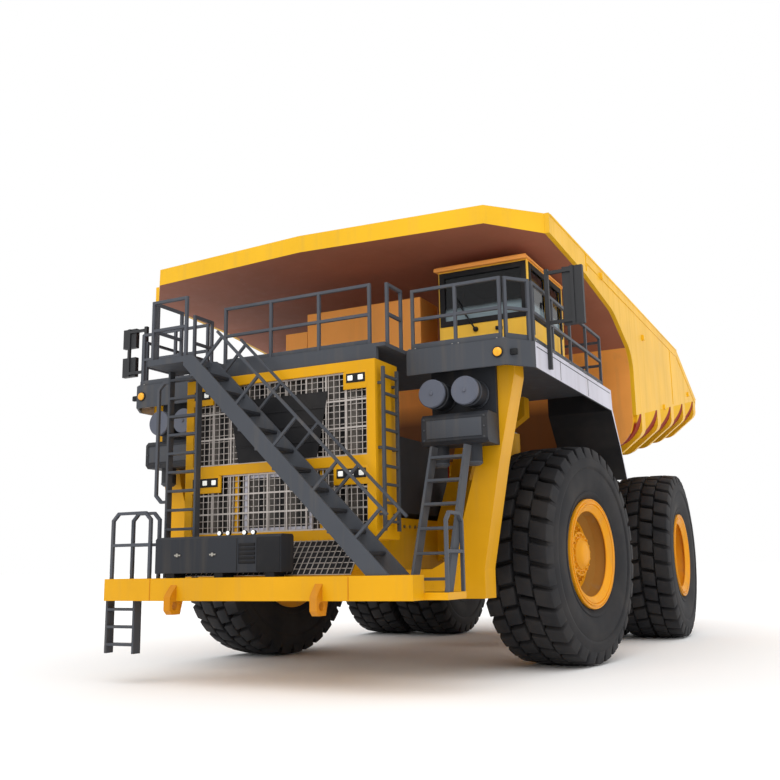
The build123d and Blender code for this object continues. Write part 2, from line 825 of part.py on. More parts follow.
def railing(start, end, posts):
    """One flat panel of railing between two (x, y) ends on the deck."""
    (x0, y0), (x1, y1) = start, end
    top = DECK_TOP + RAILING - RAIL_BAR / 2
    pieces = []
    for i in range(posts):
        share = i / (posts - 1)
        x = x0 + (x1 - x0) * share
        y = y0 + (y1 - y0) * share
        along = Vector(x1 - x0, y1 - y0)
        foot = Plane(origin=(x, y, DECK_TOP), x_dir=along, z_dir=(0, 0, 1))
        low = (Align.CENTER, Align.CENTER, Align.MIN)
        pieces.append(foot * Box(RAIL_BAR, RAIL_BAR, RAILING, align=low))
    for z in (top, DECK_TOP + RAILING / 2):
        pieces.append(bar((x0, y0, z), (x1, y1, z), RAIL_BAR))
    return fuse(pieces)


def deck_railings():
    front = fore(DECK_FRONT) + RAILING_INSET
    cut_x = DECK_OUT - DECK_CUT_X
    cut_y = fore(DECK_FRONT) + DECK_CUT_Y
    side_x = DECK_OUT - RAILING_INSET
    rear = aft(DECK_BACK) - RAILING_INSET
    gap = 2 * RAIL_BAR
    pieces = []
    for side in (1, -1):
        ends = (side * (DECK_IN + gap), front), (side * (cut_x - gap), front)
        pieces.append(railing(*ends, 3))
        start = (side * (cut_x - RAIL_BAR / 2), front + gap / 2)
        end = (side * (side_x - RAIL_BAR / 2), cut_y - gap / 4)
        pieces.append(railing(start, end, 2))
        ends = (side * side_x, cut_y + gap), (side * side_x, rear - 4 * gap)
        pieces.append(railing(*ends, 5))
        ends = (side * (side_x - gap), rear), (side * (FLAP_IN + gap), rear)
        pieces.append(railing(*ends, 2))
    bridge = fore(MID_FRONT) + 2 * RAILING_INSET
    edge = DECK_IN - PANEL_GAP - RAILING_INSET
    for side in (1, -1):
        pieces.append(railing((side * edge, bridge + gap), (side * edge, front - gap), 2))
    pieces.append(railing((LANDING_IN + RAILING_INSET, bridge), (DECK_IN - CABINET_STEP, bridge), 4))
    return group(pieces)


def handrails():
    near = fore(STAIR_FRONT) + RAILING_INSET
    outer = LANDING_OUT + RAILING_INSET
    inner = LANDING_IN - RAILING_INSET
    side = (outer, near + 2 * RAIL_BAR), (outer, fore(MID_FRONT + RAILING_INSET))
    pieces = [railing((outer, near), (inner, near), 2), railing(*side, 2)]
    hoop_y = fore(BUMPER_FRONT) + 2 * RAIL_BAR
    hoop_out = -BUMPER_HALF + 2 * RAIL_BAR
    pieces.append(hoop((hoop_out, hoop_y), (HOOP_IN, hoop_y), BUMPER_TOP, HOOP_TOP))
    rear_y = fore(BUMPER_BACK) - 2 * RAIL_BAR
    rear_out = hoop_out + HOOP_STAGGER
    pieces.append(hoop((rear_out, rear_y), (HOOP_IN, rear_y), BUMPER_TOP, HOOP_TOP))
    step_x = STEP_OUT - RAIL_BAR / 2
    step_front = (step_x, fore(BUMPER_BACK - RAIL_BAR))
    step_back = (step_x, fore(STEP_BACK + RAIL_BAR))
    pieces.append(hoop(step_front, step_back, BUMPER_BOTTOM + STEP_THICK, STEP_HOOP_TOP))
    grab_y = fore(STAIR_BACK + UPRIGHT_STILE)
    stile = LANDING_OUT + LADDER_STILE
    far = stile - GRAB_REACH
    grab = [
        (stile, grab_y, GRAB_HIGH),
        (far + HOOP_BEND, grab_y, GRAB_HIGH),
        (far, grab_y, GRAB_HIGH - HOOP_BEND),
        (far, grab_y, GRAB_LOW + HOOP_BEND),
        (far + HOOP_BEND, grab_y, GRAB_LOW),
        (stile, grab_y, GRAB_LOW),
    ]
    pieces.append(bent_bar(grab, RAIL_BAR))
    return group(pieces)


def hoop(start, end, low, high):
    """Guard hoop on two (x, y) feet, with bent upper corners and a middle bar."""
    (x0, y0), (x1, y1) = start, end
    bend = Vector(x1 - x0, y1 - y0).normalized() * HOOP_BEND
    shoulder = high - RAIL_BAR / 2 - HOOP_BEND
    top = high - RAIL_BAR / 2
    path = [
        (x0, y0, low),
        (x0, y0, shoulder),
        (x0 + bend.X, y0 + bend.Y, top),
        (x1 - bend.X, y1 - bend.Y, top),
        (x1, y1, shoulder),
        (x1, y1, low),
    ]
    middle = (low + high) / 2
    rail = bar((x0, y0, middle), (x1, y1, middle), RAIL_BAR)
    return fuse([bent_bar(path, RAIL_BAR), rail])


# Cab.
def cab_floor():
    return block(CAB_IN, CAB_OUT, fore(CAB_FRONT), fore(CAB_BACK), DECK_TOP, DECK_TOP + CAB_FLOOR)


def cab_heights():
    """Top of the floor and underside of the roof."""
    return DECK_TOP + CAB_FLOOR, CAB_ROOF - CAB_WALL


def cab_roof():
    y0 = fore(CAB_FRONT + VISOR)
    y1 = fore(CAB_BACK - EAVE)
    roof = block(CAB_IN - EAVE, CAB_OUT + EAVE, y0, y1, CAB_ROOF - CAB_WALL, CAB_ROOF)
    return chamfer(roof.edges().group_by(Axis.Z)[-1], EAVE)


def end_windows():
    """Windscreen and back window: x limits, and y limits of the wall that each is cut in."""
    front = fore(CAB_FRONT)
    back = fore(CAB_BACK)
    return [
        (CAB_IN + PILLAR, CAB_OUT - PILLAR, front, front + CAB_WALL),
        (CAB_IN + REAR_PILLAR, CAB_OUT - REAR_PILLAR, back - CAB_WALL, back),
    ]


def cab_ends():
    walls = []
    for x0, x1, y0, y1 in end_windows():
        walls.append(block(CAB_IN, CAB_OUT, y0, y1, *cab_heights()) - block(x0, x1, y0, y1, SILL, HEADER))
    return group(walls)


def side_windows():
    """Side windows: x limits of the wall, and y limits of each window."""
    y0 = fore(CAB_FRONT - CAB_WALL) + PILLAR
    y1 = fore(CAB_BACK + CAB_WALL) - PILLAR
    middle = (y0 + y1) / 2
    outer = CAB_OUT - CAB_WALL
    return [
        (outer, outer + CAB_WALL, y0, middle - PILLAR / 2),
        (outer, outer + CAB_WALL, middle + PILLAR / 2, y1),
        (CAB_IN, CAB_IN + CAB_WALL, y0, fore(DOOR_FRONT) - 2 * HINGE_LEAF),
    ]


def cab_sides():
    y0 = fore(CAB_FRONT - CAB_WALL)
    y1 = fore(CAB_BACK + CAB_WALL)
    low, high = cab_heights()
    windows = [block(a, b, c, d, SILL, HEADER) for a, b, c, d in side_windows()]
    outer = block(CAB_OUT - CAB_WALL, CAB_OUT, y0, y1, low, high) - windows[0] - windows[1]
    inner = block(CAB_IN, CAB_IN + CAB_WALL, y0, y1, low, high) - windows[2]
    inner = inner - block(CAB_IN, CAB_IN + CAB_WALL, fore(DOOR_FRONT), fore(DOOR_BACK), low, DOOR_TOP)
    x, y = hinge_place()
    pieces = [inner]
    for z in hinge_heights():
        pieces.append(hinge_half(-1, z - HINGE_HIGH, z - DOOR_GAP / 2))
        pieces.append(rod((x, y, z - HINGE_HIGH), (x, y, z + HINGE_HIGH), HINGE_PIN))
    return group([outer, fuse(pieces)])


def cab_glass():
    panes = []
    g = GLASS_GAP
    for (x0, x1, y0, y1), way in zip(end_windows(), (1, -1)):
        y = (y0 if way > 0 else y1) + way * GLASS_SET
        panes.append(block(x0 + g, x1 - g, y, y + way * GLASS, SILL + g, HEADER - g))
    for (x0, x1, y0, y1), way in zip(side_windows(), (-1, -1, 1)):
        x = (x0 if way > 0 else x1) + way * GLASS_SET
        panes.append(block(x, x + way * GLASS, y0 + g, y1 - g, SILL + g, HEADER - g))
    return group(panes)


def hinge_heights():
    low, high = cab_heights()
    return [low + HINGE_SET, DOOR_TOP - HINGE_SET]


def hinge_place():
    """Place of the door's hinge line, outside the wall at the front edge of the doorway."""
    return CAB_IN - HINGE_OUT, fore(DOOR_FRONT)


def hinge_half(side, z0, z1):
    """One leaf of a hinge with its knuckle; side is -1 on the wall and 1 on the door."""
    x, y = hinge_place()
    knuckle_part = rod((x, y, z0), (x, y, z1), HINGE_KNUCKLE)
    near = y + (DOOR_GAP if side > 0 else 0)
    plate = block(x, CAB_IN, near, y + side * HINGE_LEAF, z0, z1)
    return fuse([knuckle_part, plate])


def door_window():
    """Limits of the door's window along the truck and in height."""
    y0 = fore(DOOR_FRONT) + DOOR_FRAME
    y1 = fore(DOOR_BACK) - DOOR_FRAME
    return y0, y1, SILL, DOOR_TOP - DOOR_FRAME


def door_leaf():
    low = DECK_TOP + CAB_FLOOR + DOOR_GAP
    y0 = fore(DOOR_FRONT) + DOOR_GAP
    y1 = fore(DOOR_BACK) - DOOR_GAP
    door = block(CAB_IN, CAB_IN + CAB_WALL, y0, y1, low, DOOR_TOP - DOOR_GAP)
    door = door - block(CAB_IN, CAB_IN + CAB_WALL, *door_window())
    x, y = hinge_place()
    for z in hinge_heights():
        half = hinge_half(1, z + DOOR_GAP / 2, z + HINGE_HIGH)
        bore = rod((x, y, z - HINGE_HIGH), (x, y, z + HINGE_HIGH), HINGE_PIN + RUN_GAP)
        door = door + (half - bore)
    return door


def door_glass():
    y0, y1, z0, z1 = door_window()
    x = CAB_IN + GLASS_SET
    g = GLASS_GAP
    return block(x, x + GLASS, y0 + g, y1 - g, z0 + g, z1 - g)


def cab_seat():
    x = SEAT_X
    y = fore(SEAT_Y)
    low, high = cab_heights()
    seat = low + SEAT_HIGH
    top = seat + SEAT_CUSHION
    foot = SEAT_HALF * 0.8
    base = block(x - foot, x + foot, y - foot, y + foot, low, seat)
    cushion = block(x - SEAT_HALF, x + SEAT_HALF, y - SEAT_HALF, y + SEAT_HALF, seat, top)
    head = top + SEAT_BACK
    rear = y + SEAT_HALF
    side = [(rear - SEAT_LEAN, top), (rear, top), (rear + SEAT_LEAN, head), (rear, head)]
    back = side_plate(side, x - SEAT_HALF, x + SEAT_HALF)
    back = fillet(back.edges().filter_by(Axis.Y, tolerance=30).group_by(Axis.Z)[-1], SEAT_LEAN / 2)
    return fuse([base, cushion, back])


def cab_console():
    low, high = cab_heights()
    y0 = fore(CAB_FRONT - CAB_WALL)
    y1 = y0 + DASH_DEEP
    knee = low + DASH_HIGH / 2
    brow = (y1 + WHEEL_GRIP * 2, low + DASH_HIGH * 0.9)
    side = [(y0, low), (y1, low), (y1, knee), brow, (y0, low + DASH_HIGH)]
    dash = side_plate(side, CAB_IN + CAB_WALL, CAB_OUT - CAB_WALL)
    hub_y = y1 + WHEEL_RADIUS * 0.8
    hub_z = low + DASH_HIGH + WHEEL_GRIP * 2
    post = rod((SEAT_X, y1 - WHEEL_GRIP, knee + WHEEL_GRIP * 2), (SEAT_X, hub_y, hub_z), WHEEL_GRIP)
    wheel = Plane(origin=(SEAT_X, hub_y, hub_z), z_dir=(0, 220, 280))
    rim = wheel * (Cylinder(WHEEL_RADIUS, WHEEL_GRIP) - Cylinder(WHEEL_RADIUS - WHEEL_GRIP, WHEEL_GRIP))
    spoke = wheel * Box(2 * WHEEL_RADIUS - WHEEL_GRIP, WHEEL_GRIP, WHEEL_GRIP / 2)
    return fuse([dash, post, rim, spoke])


def control_cabinet():
    y0 = fore(CABINET_FRONT)
    y1 = fore(CABINET_BACK)
    wide = block(-CABINET_SPLIT + PANEL_GAP / 2, CABINET_LEFT, y0, y1, DECK_TOP, CABINET_TOP)
    small_top = CABINET_TOP - CABINET_STEP
    small = block(-CABINET_RIGHT, -CABINET_SPLIT - PANEL_GAP / 2, y0, y1, DECK_TOP, small_top)
    return group([wide, small])


# Outer fittings, each with its place on the deck supports, the decks or the frame.
def air_cleaners():
    y0 = fore(DECK_FRONT + CLEANER_SET)
    y1 = fore(UPRIGHT_FRONT)
    box = block(CLEANER_IN, CLEANER_OUT, y0, y1, CLEANER_LOW, CLEANER_LOW + CLEANER_HIGH)
    box = chamfer(box.edges().filter_by(Axis.X).group_by(Axis.Y)[0], CLEANER_SET)
    plate_in = y1 - CLEANER_PLATE
    back = block(CLEANER_IN, CLEANER_OUT, plate_in, y1, CLEANER_LOW + CLEANER_HIGH, DECK_BOTTOM)
    pieces = [box, back]
    wide = (CLEANER_OUT - CLEANER_IN) / 2
    for x in (CLEANER_IN + CLEANER_RADIUS, CLEANER_IN + CLEANER_RADIUS + wide):
        drum = rod((x, y0, CLEANER_Z), (x, y1, CLEANER_Z), CLEANER_RADIUS)
        cap = rod((x, y0 + CLEANER_SET, CLEANER_Z), (x, y0 - CLEANER_SET, CLEANER_Z), CLEANER_CAP)
        y = (y0 + y1) / 2
        cup = rod((x, y, CLEANER_LOW - 2 * CLEANER_CUP), (x, y, CLEANER_LOW + CLEANER_SET), CLEANER_CUP)
        pieces += [drum, cap, cup]
    return pair(fuse(pieces))


def mudguard():
    y0 = aft(DECK_BACK)
    knee_y = y0 + 0.6 * FLAP_REACH
    knee_z = DECK_TOP - 0.64 * FLAP_DROP
    outline = [
        (y0, DECK_TOP - DECK_SKIRT),
        (y0, DECK_TOP),
        (y0 + FLAP, DECK_TOP),
        (y0 + 2 * FLAP, DECK_TOP - DECK_SKIRT + FLAP),
        (knee_y, knee_z),
        (y0 + FLAP_REACH, DECK_TOP - FLAP_DROP),
        (y0 + FLAP_REACH - FLAP, DECK_TOP - FLAP_DROP - FLAP / 2),
        (knee_y - FLAP, knee_z - FLAP / 2),
    ]
    return side_plate(outline, FLAP_IN, DECK_OUT)


def mirror_unit(side, station, heights):
    """Post on the deck's side with two arms and glass cases at the given heights below its top."""
    x = side * (DECK_OUT + MIRROR_POST / 2)
    y = fore(station)
    top = DECK_TOP + RAILING + MIRROR_WIDE
    reach = side * (DECK_OUT + MIRROR_REACH)
    arm = reach - side * MIRROR_WIDE / 2
    low = DECK_TOP - DECK_SKIRT * 0.8
    pieces = [bar((x, y, low), (x, y, top), MIRROR_POST)]
    for z in (top - MIRROR_POST, top - MIRROR_HIGH + MIRROR_POST):
        pieces.append(bar((x, y, z), (arm, y, z), MIRROR_BAR))
    pieces.append(bar((arm, y, top - MIRROR_HIGH), (arm, y, top), MIRROR_BAR))
    for high, deep in heights:
        case = block(reach - side * MIRROR_WIDE, reach, y, y + MIRROR_THICK, top - high - deep, top - high)
        pieces.append(case)
    return fuse(pieces)


def mirrors():
    half = MIRROR_HIGH * 0.4
    left = mirror_unit(1, MIRROR_Y, [(0, MIRROR_HIGH)])
    right = mirror_unit(-1, MIRROR_Y_RIGHT, [(0, half), (MIRROR_HIGH - half, half)])
    return group([left, right])


def tank(width, bottom):
    body = block(RAIL_OUT, RAIL_OUT + width, aft(TANK_FRONT), aft(TANK_BACK), bottom, TANK_TOP)
    return fillet(body.edges().filter_by(Axis.X), TANK_ROUND)


# Front axle.
def strut():
    low = KNUCKLE_TOP + SIDE_GAP
    foot = (KINGPIN_X, FRONT_AXLE_Y, low)
    barrel = rod(foot, (KINGPIN_X, FRONT_AXLE_Y, low + STRUT_HEIGHT), STRUT_BARREL)
    near = KINGPIN_X - STRUT_BARREL / 4
    bracket = front_plate(
        [
            (RAIL_OUT, RAIL_BOTTOM + CROSS_TUBE / 2),
            (RAIL_OUT, RAIL_TOP),
            (RAIL_OUT + STRUT_BARREL, low + STRUT_HEIGHT / 2),
            (near, low + STRUT_HEIGHT / 2),
            (near, low),
            (near - 2 * STRUT_BARREL, low),
        ],
        FRONT_AXLE_Y - STRUT_BARREL,
        FRONT_AXLE_Y + STRUT_BARREL,
    )
    bore = rod(foot, (KINGPIN_X, FRONT_AXLE_Y, low + STRUT_ENGAGE + SIDE_GAP), STRUT_ROD + RUN_GAP)
    return fuse([barrel, bracket]) - bore


def knuckle():
    y = FRONT_AXLE_Y
    wheel_x = FRONT_TRACK / 2
    hub_in = wheel_x - FRONT_HUB_BACK - SIDE_GAP
    end = wheel_x + FRONT_DISC + DISC_THICK - 2 * SIDE_GAP
    post = rod((KINGPIN_X, y, ARM_Z), (KINGPIN_X, y, KNUCKLE_TOP), KNUCKLE_RADIUS)
    kingpin = rod((KINGPIN_X, y, KNUCKLE_TOP), (KINGPIN_X, y, KNUCKLE_TOP + STRUT_ENGAGE), STRUT_ROD)
    axle = turned(
        [
            (KINGPIN_X, 0),
            (KINGPIN_X, KNUCKLE_RADIUS + ARM_THICK),
            (hub_in, FRONT_SPINDLE + ARM_THICK),
            (hub_in, FRONT_SPINDLE),
            (end, FRONT_SPINDLE),
            (end, 0),
        ]
    )
    tip_y = y + ARM_LENGTH
    wide = KNUCKLE_RADIUS * 0.8
    arm = plan_plate(
        [
            (KINGPIN_X - wide, y),
            (KINGPIN_X + wide, y),
            (KINGPIN_X + TIE_EYE, tip_y),
            (KINGPIN_X - TIE_EYE, tip_y),
        ],
        ARM_Z,
        ARM_Z + ARM_THICK,
    )
    tip = rod((KINGPIN_X, tip_y, ARM_Z), (KINGPIN_X, tip_y, ARM_Z + ARM_THICK), TIE_EYE)
    pin = rod((KINGPIN_X, tip_y, TIE_Z - TIE_EYE * 0.7), (KINGPIN_X, tip_y, ARM_Z), TIE_PIN)
    return fuse([post, kingpin, Pos(0, y, AXLE_Z) * axle, arm, tip, pin])


def steered(shape, side):
    """Turn a front wheel piece about its kingpin to the angle it stands at."""
    pivot = Pos(side * KINGPIN_X, FRONT_AXLE_Y, 0)
    return pivot * Rot(0, 0, STEER_REST) * pivot.inverse() * shape


def arm_tip(side):
    """Place of a steering arm's pin with the wheels at the angle they stand at."""
    a = math.radians(STEER_REST)
    return (
        side * KINGPIN_X - ARM_LENGTH * math.sin(a),
        FRONT_AXLE_Y + ARM_LENGTH * math.cos(a),
    )


def tie_rod():
    tips = [arm_tip(1), arm_tip(-1)]
    (x0, y0), (x1, y1) = tips
    pieces = [rod((x0, y0, TIE_Z), (x1, y1, TIE_Z), TIE_BAR)]
    low = TIE_Z - TIE_THICK / 2
    high = TIE_Z + TIE_THICK / 2
    for x, y in tips:
        pieces.append(rod((x, y, low), (x, y, high), TIE_EYE))
    link = fuse(pieces)
    for x, y in tips:
        link = link - rod((x, y, low), (x, y, high), TIE_PIN + RUN_GAP)
    return link


# Wheels and tyres.
def round_the_axle(radius, angle):
    """Point (y, z) this far from the axle, its angle counted from straight down."""
    return radius * math.sin(math.radians(angle)), -radius * math.cos(math.radians(angle))


def tread_half(turn, x0, x1):
    """One half of the tread: a lug at each pitch with a V groove between it and the next."""
    pitch = 360 / LUGS
    half = pitch * LUG_SHARE / 2
    tip = TYRE_RADIUS / math.cos(math.radians(pitch / 2 - half))
    points = []
    for i in range(LUGS):
        angle = i * pitch + turn
        points.append(round_the_axle(tip, angle - half))
        points.append(round_the_axle(tip, angle + half))
        points.append(round_the_axle(tip - LUG_HEIGHT, angle + pitch / 2))
    return side_plate(points, x0, x1)


def flats(radius, x):
    """Ring of corners across the axle at x, one flat to each lug, its flats this far out."""
    pitch = 360 / LUGS
    corner = radius / math.cos(math.radians(pitch / 2))
    ring = [round_the_axle(corner, i * pitch + pitch / 2) for i in range(LUGS)]
    return [(x, y, z) for y, z in ring]


def faceted(x0, r0, x1, r1):
    """Tapered or plain disc with flat sides between two rings of corners."""
    first = flats(r0, x0)
    last = flats(r1, x1)
    faces = [make_face(Polyline(*ring, close=True)) for ring in (first, last)]
    for i in range(LUGS):
        side = [first[i - 1], first[i], last[i], last[i - 1]]
        faces.append(make_face(Polyline(*side, close=True)))
    return Solid(Shell([face.face() for face in faces]))


def tyre():
    """Two halves of tread set half a pitch apart on each side of a groove, and dished side walls."""
    half = TYRE_WIDTH / 2
    bead = RIM_HALF - FLANGE_WIDTH - RUN_GAP
    shoulder = half - TREAD_EDGE
    base = TYRE_RADIUS - 1.3 * LUG_HEIGHT
    wall = faceted(shoulder, base, half, BULGE_RADIUS)
    dish = faceted(half, BULGE_RADIUS, bead, RIM_FLANGE + FLANGE_WIDTH / 2)
    groove = TREAD_GROOVE / 2
    core = faceted(-groove, base, groove, base)
    tread = [tread_half(0, groove, shoulder), tread_half(180 / LUGS, -shoulder, -groove)]
    casing = fuse(tread + [core, wall, other_side(wall)])
    bore = faceted(-half, RIM_SEAT + RUN_GAP, half, RIM_SEAT + RUN_GAP)
    return casing - dish - other_side(dish) - bore


def barrel_outline(centre):
    """Flanged seat for one tyre, as the outer line of a rim from its inner to its outer edge."""
    a = RIM_HALF
    b = RIM_HALF - FLANGE_WIDTH
    flange = RIM_FLANGE
    points = [(-a, flange), (-b, flange), (-b, RIM_SEAT), (b, RIM_SEAT), (b, flange), (a, flange)]
    return [(centre + x, r) for x, r in points]


def front_rim():
    inner = RIM_SEAT - RIM_WALL
    cap = FRONT_DISC + FRONT_CAP
    face = FRONT_DISC + DISC_THICK
    back = FRONT_DISC - DISC_THICK
    bore = FRONT_SPINDLE + RUN_GAP
    outline = barrel_outline(0) + [
        (RIM_HALF, RIM_FLANGE - RIM_LIP),
        (face, inner - RIM_WALL / 2),
        (FRONT_DISC, inner - 2 * RIM_WALL),
        (FRONT_DISC, FRONT_HUB),
        (cap, FRONT_HUB - FLANGE_WIDTH),
        (cap, 0),
        (face, 0),
        (face, bore),
        (-FRONT_HUB_BACK, bore),
        (-FRONT_HUB_BACK, FRONT_HUB),
        (back, FRONT_HUB),
        (back, inner),
        (-RIM_HALF, inner),
    ]
    return turned(outline)


def dual_offset():
    return (TYRE_WIDTH + DUAL_GAP) / 2


def rear_rims():
    off = dual_offset()
    inner = RIM_SEAT - RIM_WALL
    end = off + RIM_HALF
    cap = REAR_DISC + REAR_CAP
    face = REAR_DISC + DISC_THICK
    back = REAR_DISC - DISC_THICK
    bore = REAR_SPINDLE + RUN_GAP
    outline = barrel_outline(-off)
    outline = outline + [(-off + RIM_HALF, RIM_SEAT), (off - RIM_HALF, RIM_SEAT)]
    outline = outline + barrel_outline(off) + [
        (end, RIM_FLANGE - RIM_LIP),
        (face + DISC_THICK, inner - RIM_WALL / 2),
        (REAR_DISC, inner - 1.5 * RIM_WALL),
        (REAR_DISC, REAR_HUB),
        (cap, REAR_HUB - FLANGE_WIDTH),
        (cap, 0),
        (face, 0),
        (face, bore),
        (-end + REAR_HUB_BACK, bore),
        (-end + REAR_HUB_BACK, REAR_HUB),
        (back, REAR_HUB),
        (back, inner),
        (-end, inner),
    ]
    return turned(outline)


def rear_centre_x():
    """Middle of a pair of rear tyres, set off from the frame rail."""
    return RAIL_OUT + REAR_CLEAR + TYRE_WIDTH + DUAL_GAP / 2


def rear_axle():
    centre = rear_centre_x()
    end = centre + REAR_DISC + DISC_THICK - 2 * SIDE_GAP
    shoulder = centre - dual_offset() - RIM_HALF + REAR_HUB_BACK - SIDE_GAP
    half = [
        (0, 0),
        (0, AXLE_DRUM),
        (RAIL_IN - AXLE_TUBE / 4, AXLE_DRUM),
        (RAIL_IN, AXLE_TUBE),
        (shoulder, AXLE_TUBE),
        (shoulder, REAR_SPINDLE),
        (end, REAR_SPINDLE),
        (end, 0),
    ]
    side = turned(half)
    housing = Pos(0, REAR_AXLE_Y, AXLE_Z) * fuse([side, other_side(side)])
    y0 = REAR_AXLE_Y - 1.3 * REAR_STRUT_RADIUS
    y1 = REAR_AXLE_Y + 1.3 * REAR_STRUT_RADIUS
    pad = block(RAIL_IN, RAIL_OUT, y0, y1, AXLE_Z, AXLE_PAD)
    tip = (0, REAR_AXLE_Y - NOSE_REACH, AXLE_Z + NOSE_RADIUS / 2)
    nose = rod((0, REAR_AXLE_Y, AXLE_Z), tip, NOSE_RADIUS)
    return fuse([housing, nose, pad, other_side(pad)])


def rear_strut():
    x = (RAIL_IN + RAIL_OUT) / 2
    return rod((x, REAR_AXLE_Y, AXLE_PAD), (x, REAR_AXLE_Y, RAIL_REAR_BOTTOM), REAR_STRUT_RADIUS)


# Dump body.
def wall_path():
    """Underside line of the front wall from the floor up and forward to the canopy."""
    return [
        (aft(WALL_Y), floor_z(aft(WALL_Y))),
        (aft(WALL_Y), WALL_BEND_Z),
        (aft(WALL_STEP_Y), WALL_STEP_Z),
        (fore(CANOPY_JOIN), CANOPY_JOIN_Z),
    ]


def mitre(a, b, c, amount):
    """Corner of the line that runs this far to the right of the line through three points."""
    first = (Vector(*b) - Vector(*a)).normalized()
    second = (Vector(*c) - Vector(*b)).normalized()
    normal = Vector(first.Y, -first.X)
    middle = (normal + Vector(second.Y, -second.X)).normalized()
    corner = Vector(*b) + middle * (amount / middle.dot(normal))
    return corner.X, corner.Y


def body_front():
    foot, bend, step, end = wall_path()
    outer = FilletPolyline(foot, bend, step, end, radius=[BEND_RADIUS, STEP_RADIUS])
    line = [
        (foot[0] + BODY_WALL, foot[1]),
        mitre(foot, bend, step, BODY_WALL),
        mitre(bend, step, end, BODY_WALL),
        (end[0], end[1] + BODY_WALL),
    ]
    inner = FilletPolyline(*line, radius=[BEND_RADIUS + BODY_WALL, STEP_RADIUS])
    ends = [Line(outer @ 0, inner @ 0), Line(outer @ 1, inner @ 1)]
    half = BODY_HALF - BODY_WALL
    wall = extrude(Plane.YZ.offset(-half) * make_face([outer, inner] + ends), amount=2 * half)
    corners = wall.edges().filter_by(Axis.Y).group_by(Axis.Z)[0]
    return fillet(corners, HAUNCH - BODY_WALL)


def canopy_under(y):
    """Underside of the canopy, rising a little to its front edge."""
    share = (fore(CANOPY_JOIN) - y) / (CANOPY_EDGE - CANOPY_JOIN)
    return CANOPY_JOIN_Z + (CANOPY_LIP_Z - CANOPY_JOIN_Z) * share


def both_sides(points):
    """Outline closed by the mirror of its points, which run from one side to the middle."""
    return points + [(-x, y) for x, y in reversed(points) if x != 0]


def body_canopy():
    half = BODY_HALF - BODY_WALL
    join = fore(CANOPY_JOIN)
    corner = (half, fore(CANOPY_CORNER_Y))
    shoulder = (CANOPY_CORNER_X, fore(CANOPY_EDGE))
    point = (0, fore(CANOPY_POINT))
    outline = both_sides([(half, join), corner, shoulder, point])
    far = (-shoulder[0], shoulder[1])
    way = Vector(*corner) - Vector(*shoulder)
    before = Vector(*corner) + way
    inner_corner = mitre((before.X, before.Y), corner, shoulder, BODY_WALL)
    run_out = Vector(*inner_corner) + way
    inner = both_sides(
        [
            (run_out.X, join),
            (run_out.X, run_out.Y),
            mitre(corner, shoulder, point, BODY_WALL),
            mitre(shoulder, point, far, BODY_WALL),
        ]
    )
    front = point[1] - BODY_WALL
    low = CANOPY_JOIN_Z - BODY_WALL
    high = BODY_TOP + BODY_WALL
    slab = [(join, canopy_under(join)), (join, BODY_TOP), (front, BODY_TOP), (front, canopy_under(front))]
    room = [
        (join, canopy_under(join) + BODY_WALL),
        (join, high),
        (front, high),
        (front, canopy_under(front) + BODY_WALL),
    ]
    shell = plan_plate(outline, low, high) & side_plate(slab, -BODY_HALF, BODY_HALF)
    hollow = plan_plate(inner, low, high) & side_plate(room, -run_out.X, run_out.X)
    return shell - hollow


def tail_y():
    """Rear end of the load floor."""
    return TAIL_Y - TAIL_SET


def body_side():
    front = aft(WALL_Y)
    corner = fore(CANOPY_CORNER_Y)
    foot = (front, floor_z(front) + HAUNCH)
    edge = Polyline(
        (fore(CANOPY_JOIN), CANOPY_JOIN_Z),
        (corner, canopy_under(corner)),
        (corner, BODY_TOP),
        (TAIL_Y - TAIL_SHOULDER, BODY_TOP),
        (TAIL_Y, TAIL_TOP_Z),
        (tail_y(), floor_z(tail_y()) + HAUNCH),
        foot,
    )
    path = FilletPolyline(foot, *wall_path()[1:], radius=[BEND_RADIUS, STEP_RADIUS])
    return extrude(Plane.YZ.offset(BODY_HALF - BODY_WALL) * make_face([edge, path]), amount=BODY_WALL)


def bolster_stations():
    first = aft(WALL_Y) + BOLSTER_SET
    last = tail_y() - BOLSTER_SET
    return [first + i * (last - first) / (BOLSTERS - 1) for i in range(BOLSTERS)]


def trough_line(z, inset):
    """Front view of the floor's line: flat, with a rounded haunch up to each side wall."""
    radius = HAUNCH - inset
    right = CenterArc((FLOOR_HALF, z + HAUNCH), radius, -90, 90)
    left = CenterArc((-FLOOR_HALF, z + HAUNCH), radius, 180, 90)
    return [Line((-FLOOR_HALF, z + inset), (FLOOR_HALF, z + inset)), right, left]


def trough_ends(z, inset, depth):
    """Short level lines that close the trough's section at its two top edges."""
    outer = BODY_HALF - inset
    ends = [((s * outer, z + HAUNCH), (s * (outer - depth), z + HAUNCH)) for s in (1, -1)]
    return [Line(a, b) for a, b in ends]


def along_floor(edges, y0, y1):
    """Front-view section at y0 carried back along the sloping floor to y1."""
    plane = Plane(origin=(0, y0, 0), x_dir=(1, 0, 0), z_dir=(0, -1, 0))
    way = Vector(0, 1, FLOOR_SLOPE)
    return extrude(plane * make_face(edges), amount=(y1 - y0) * way.length, dir=way.normalized())


def bolster(y):
    """Rib under the floor that wraps up round both haunches."""
    z = floor_z(y)
    mid = FLOOR_THICK / 2
    low = z - BOLSTER_DEPTH
    outer = FilletPolyline(
        (BODY_HALF, z + HAUNCH),
        (BODY_HALF, z + RIB_DROP),
        (FLOOR_HALF, low),
        (-FLOOR_HALF, low),
        (-BODY_HALF, z + RIB_DROP),
        (-BODY_HALF, z + HAUNCH),
        radius=RIB_DROP,
    )
    return along_floor([outer] + trough_line(z, mid) + trough_ends(z, 0, mid), y, y + BOLSTER)


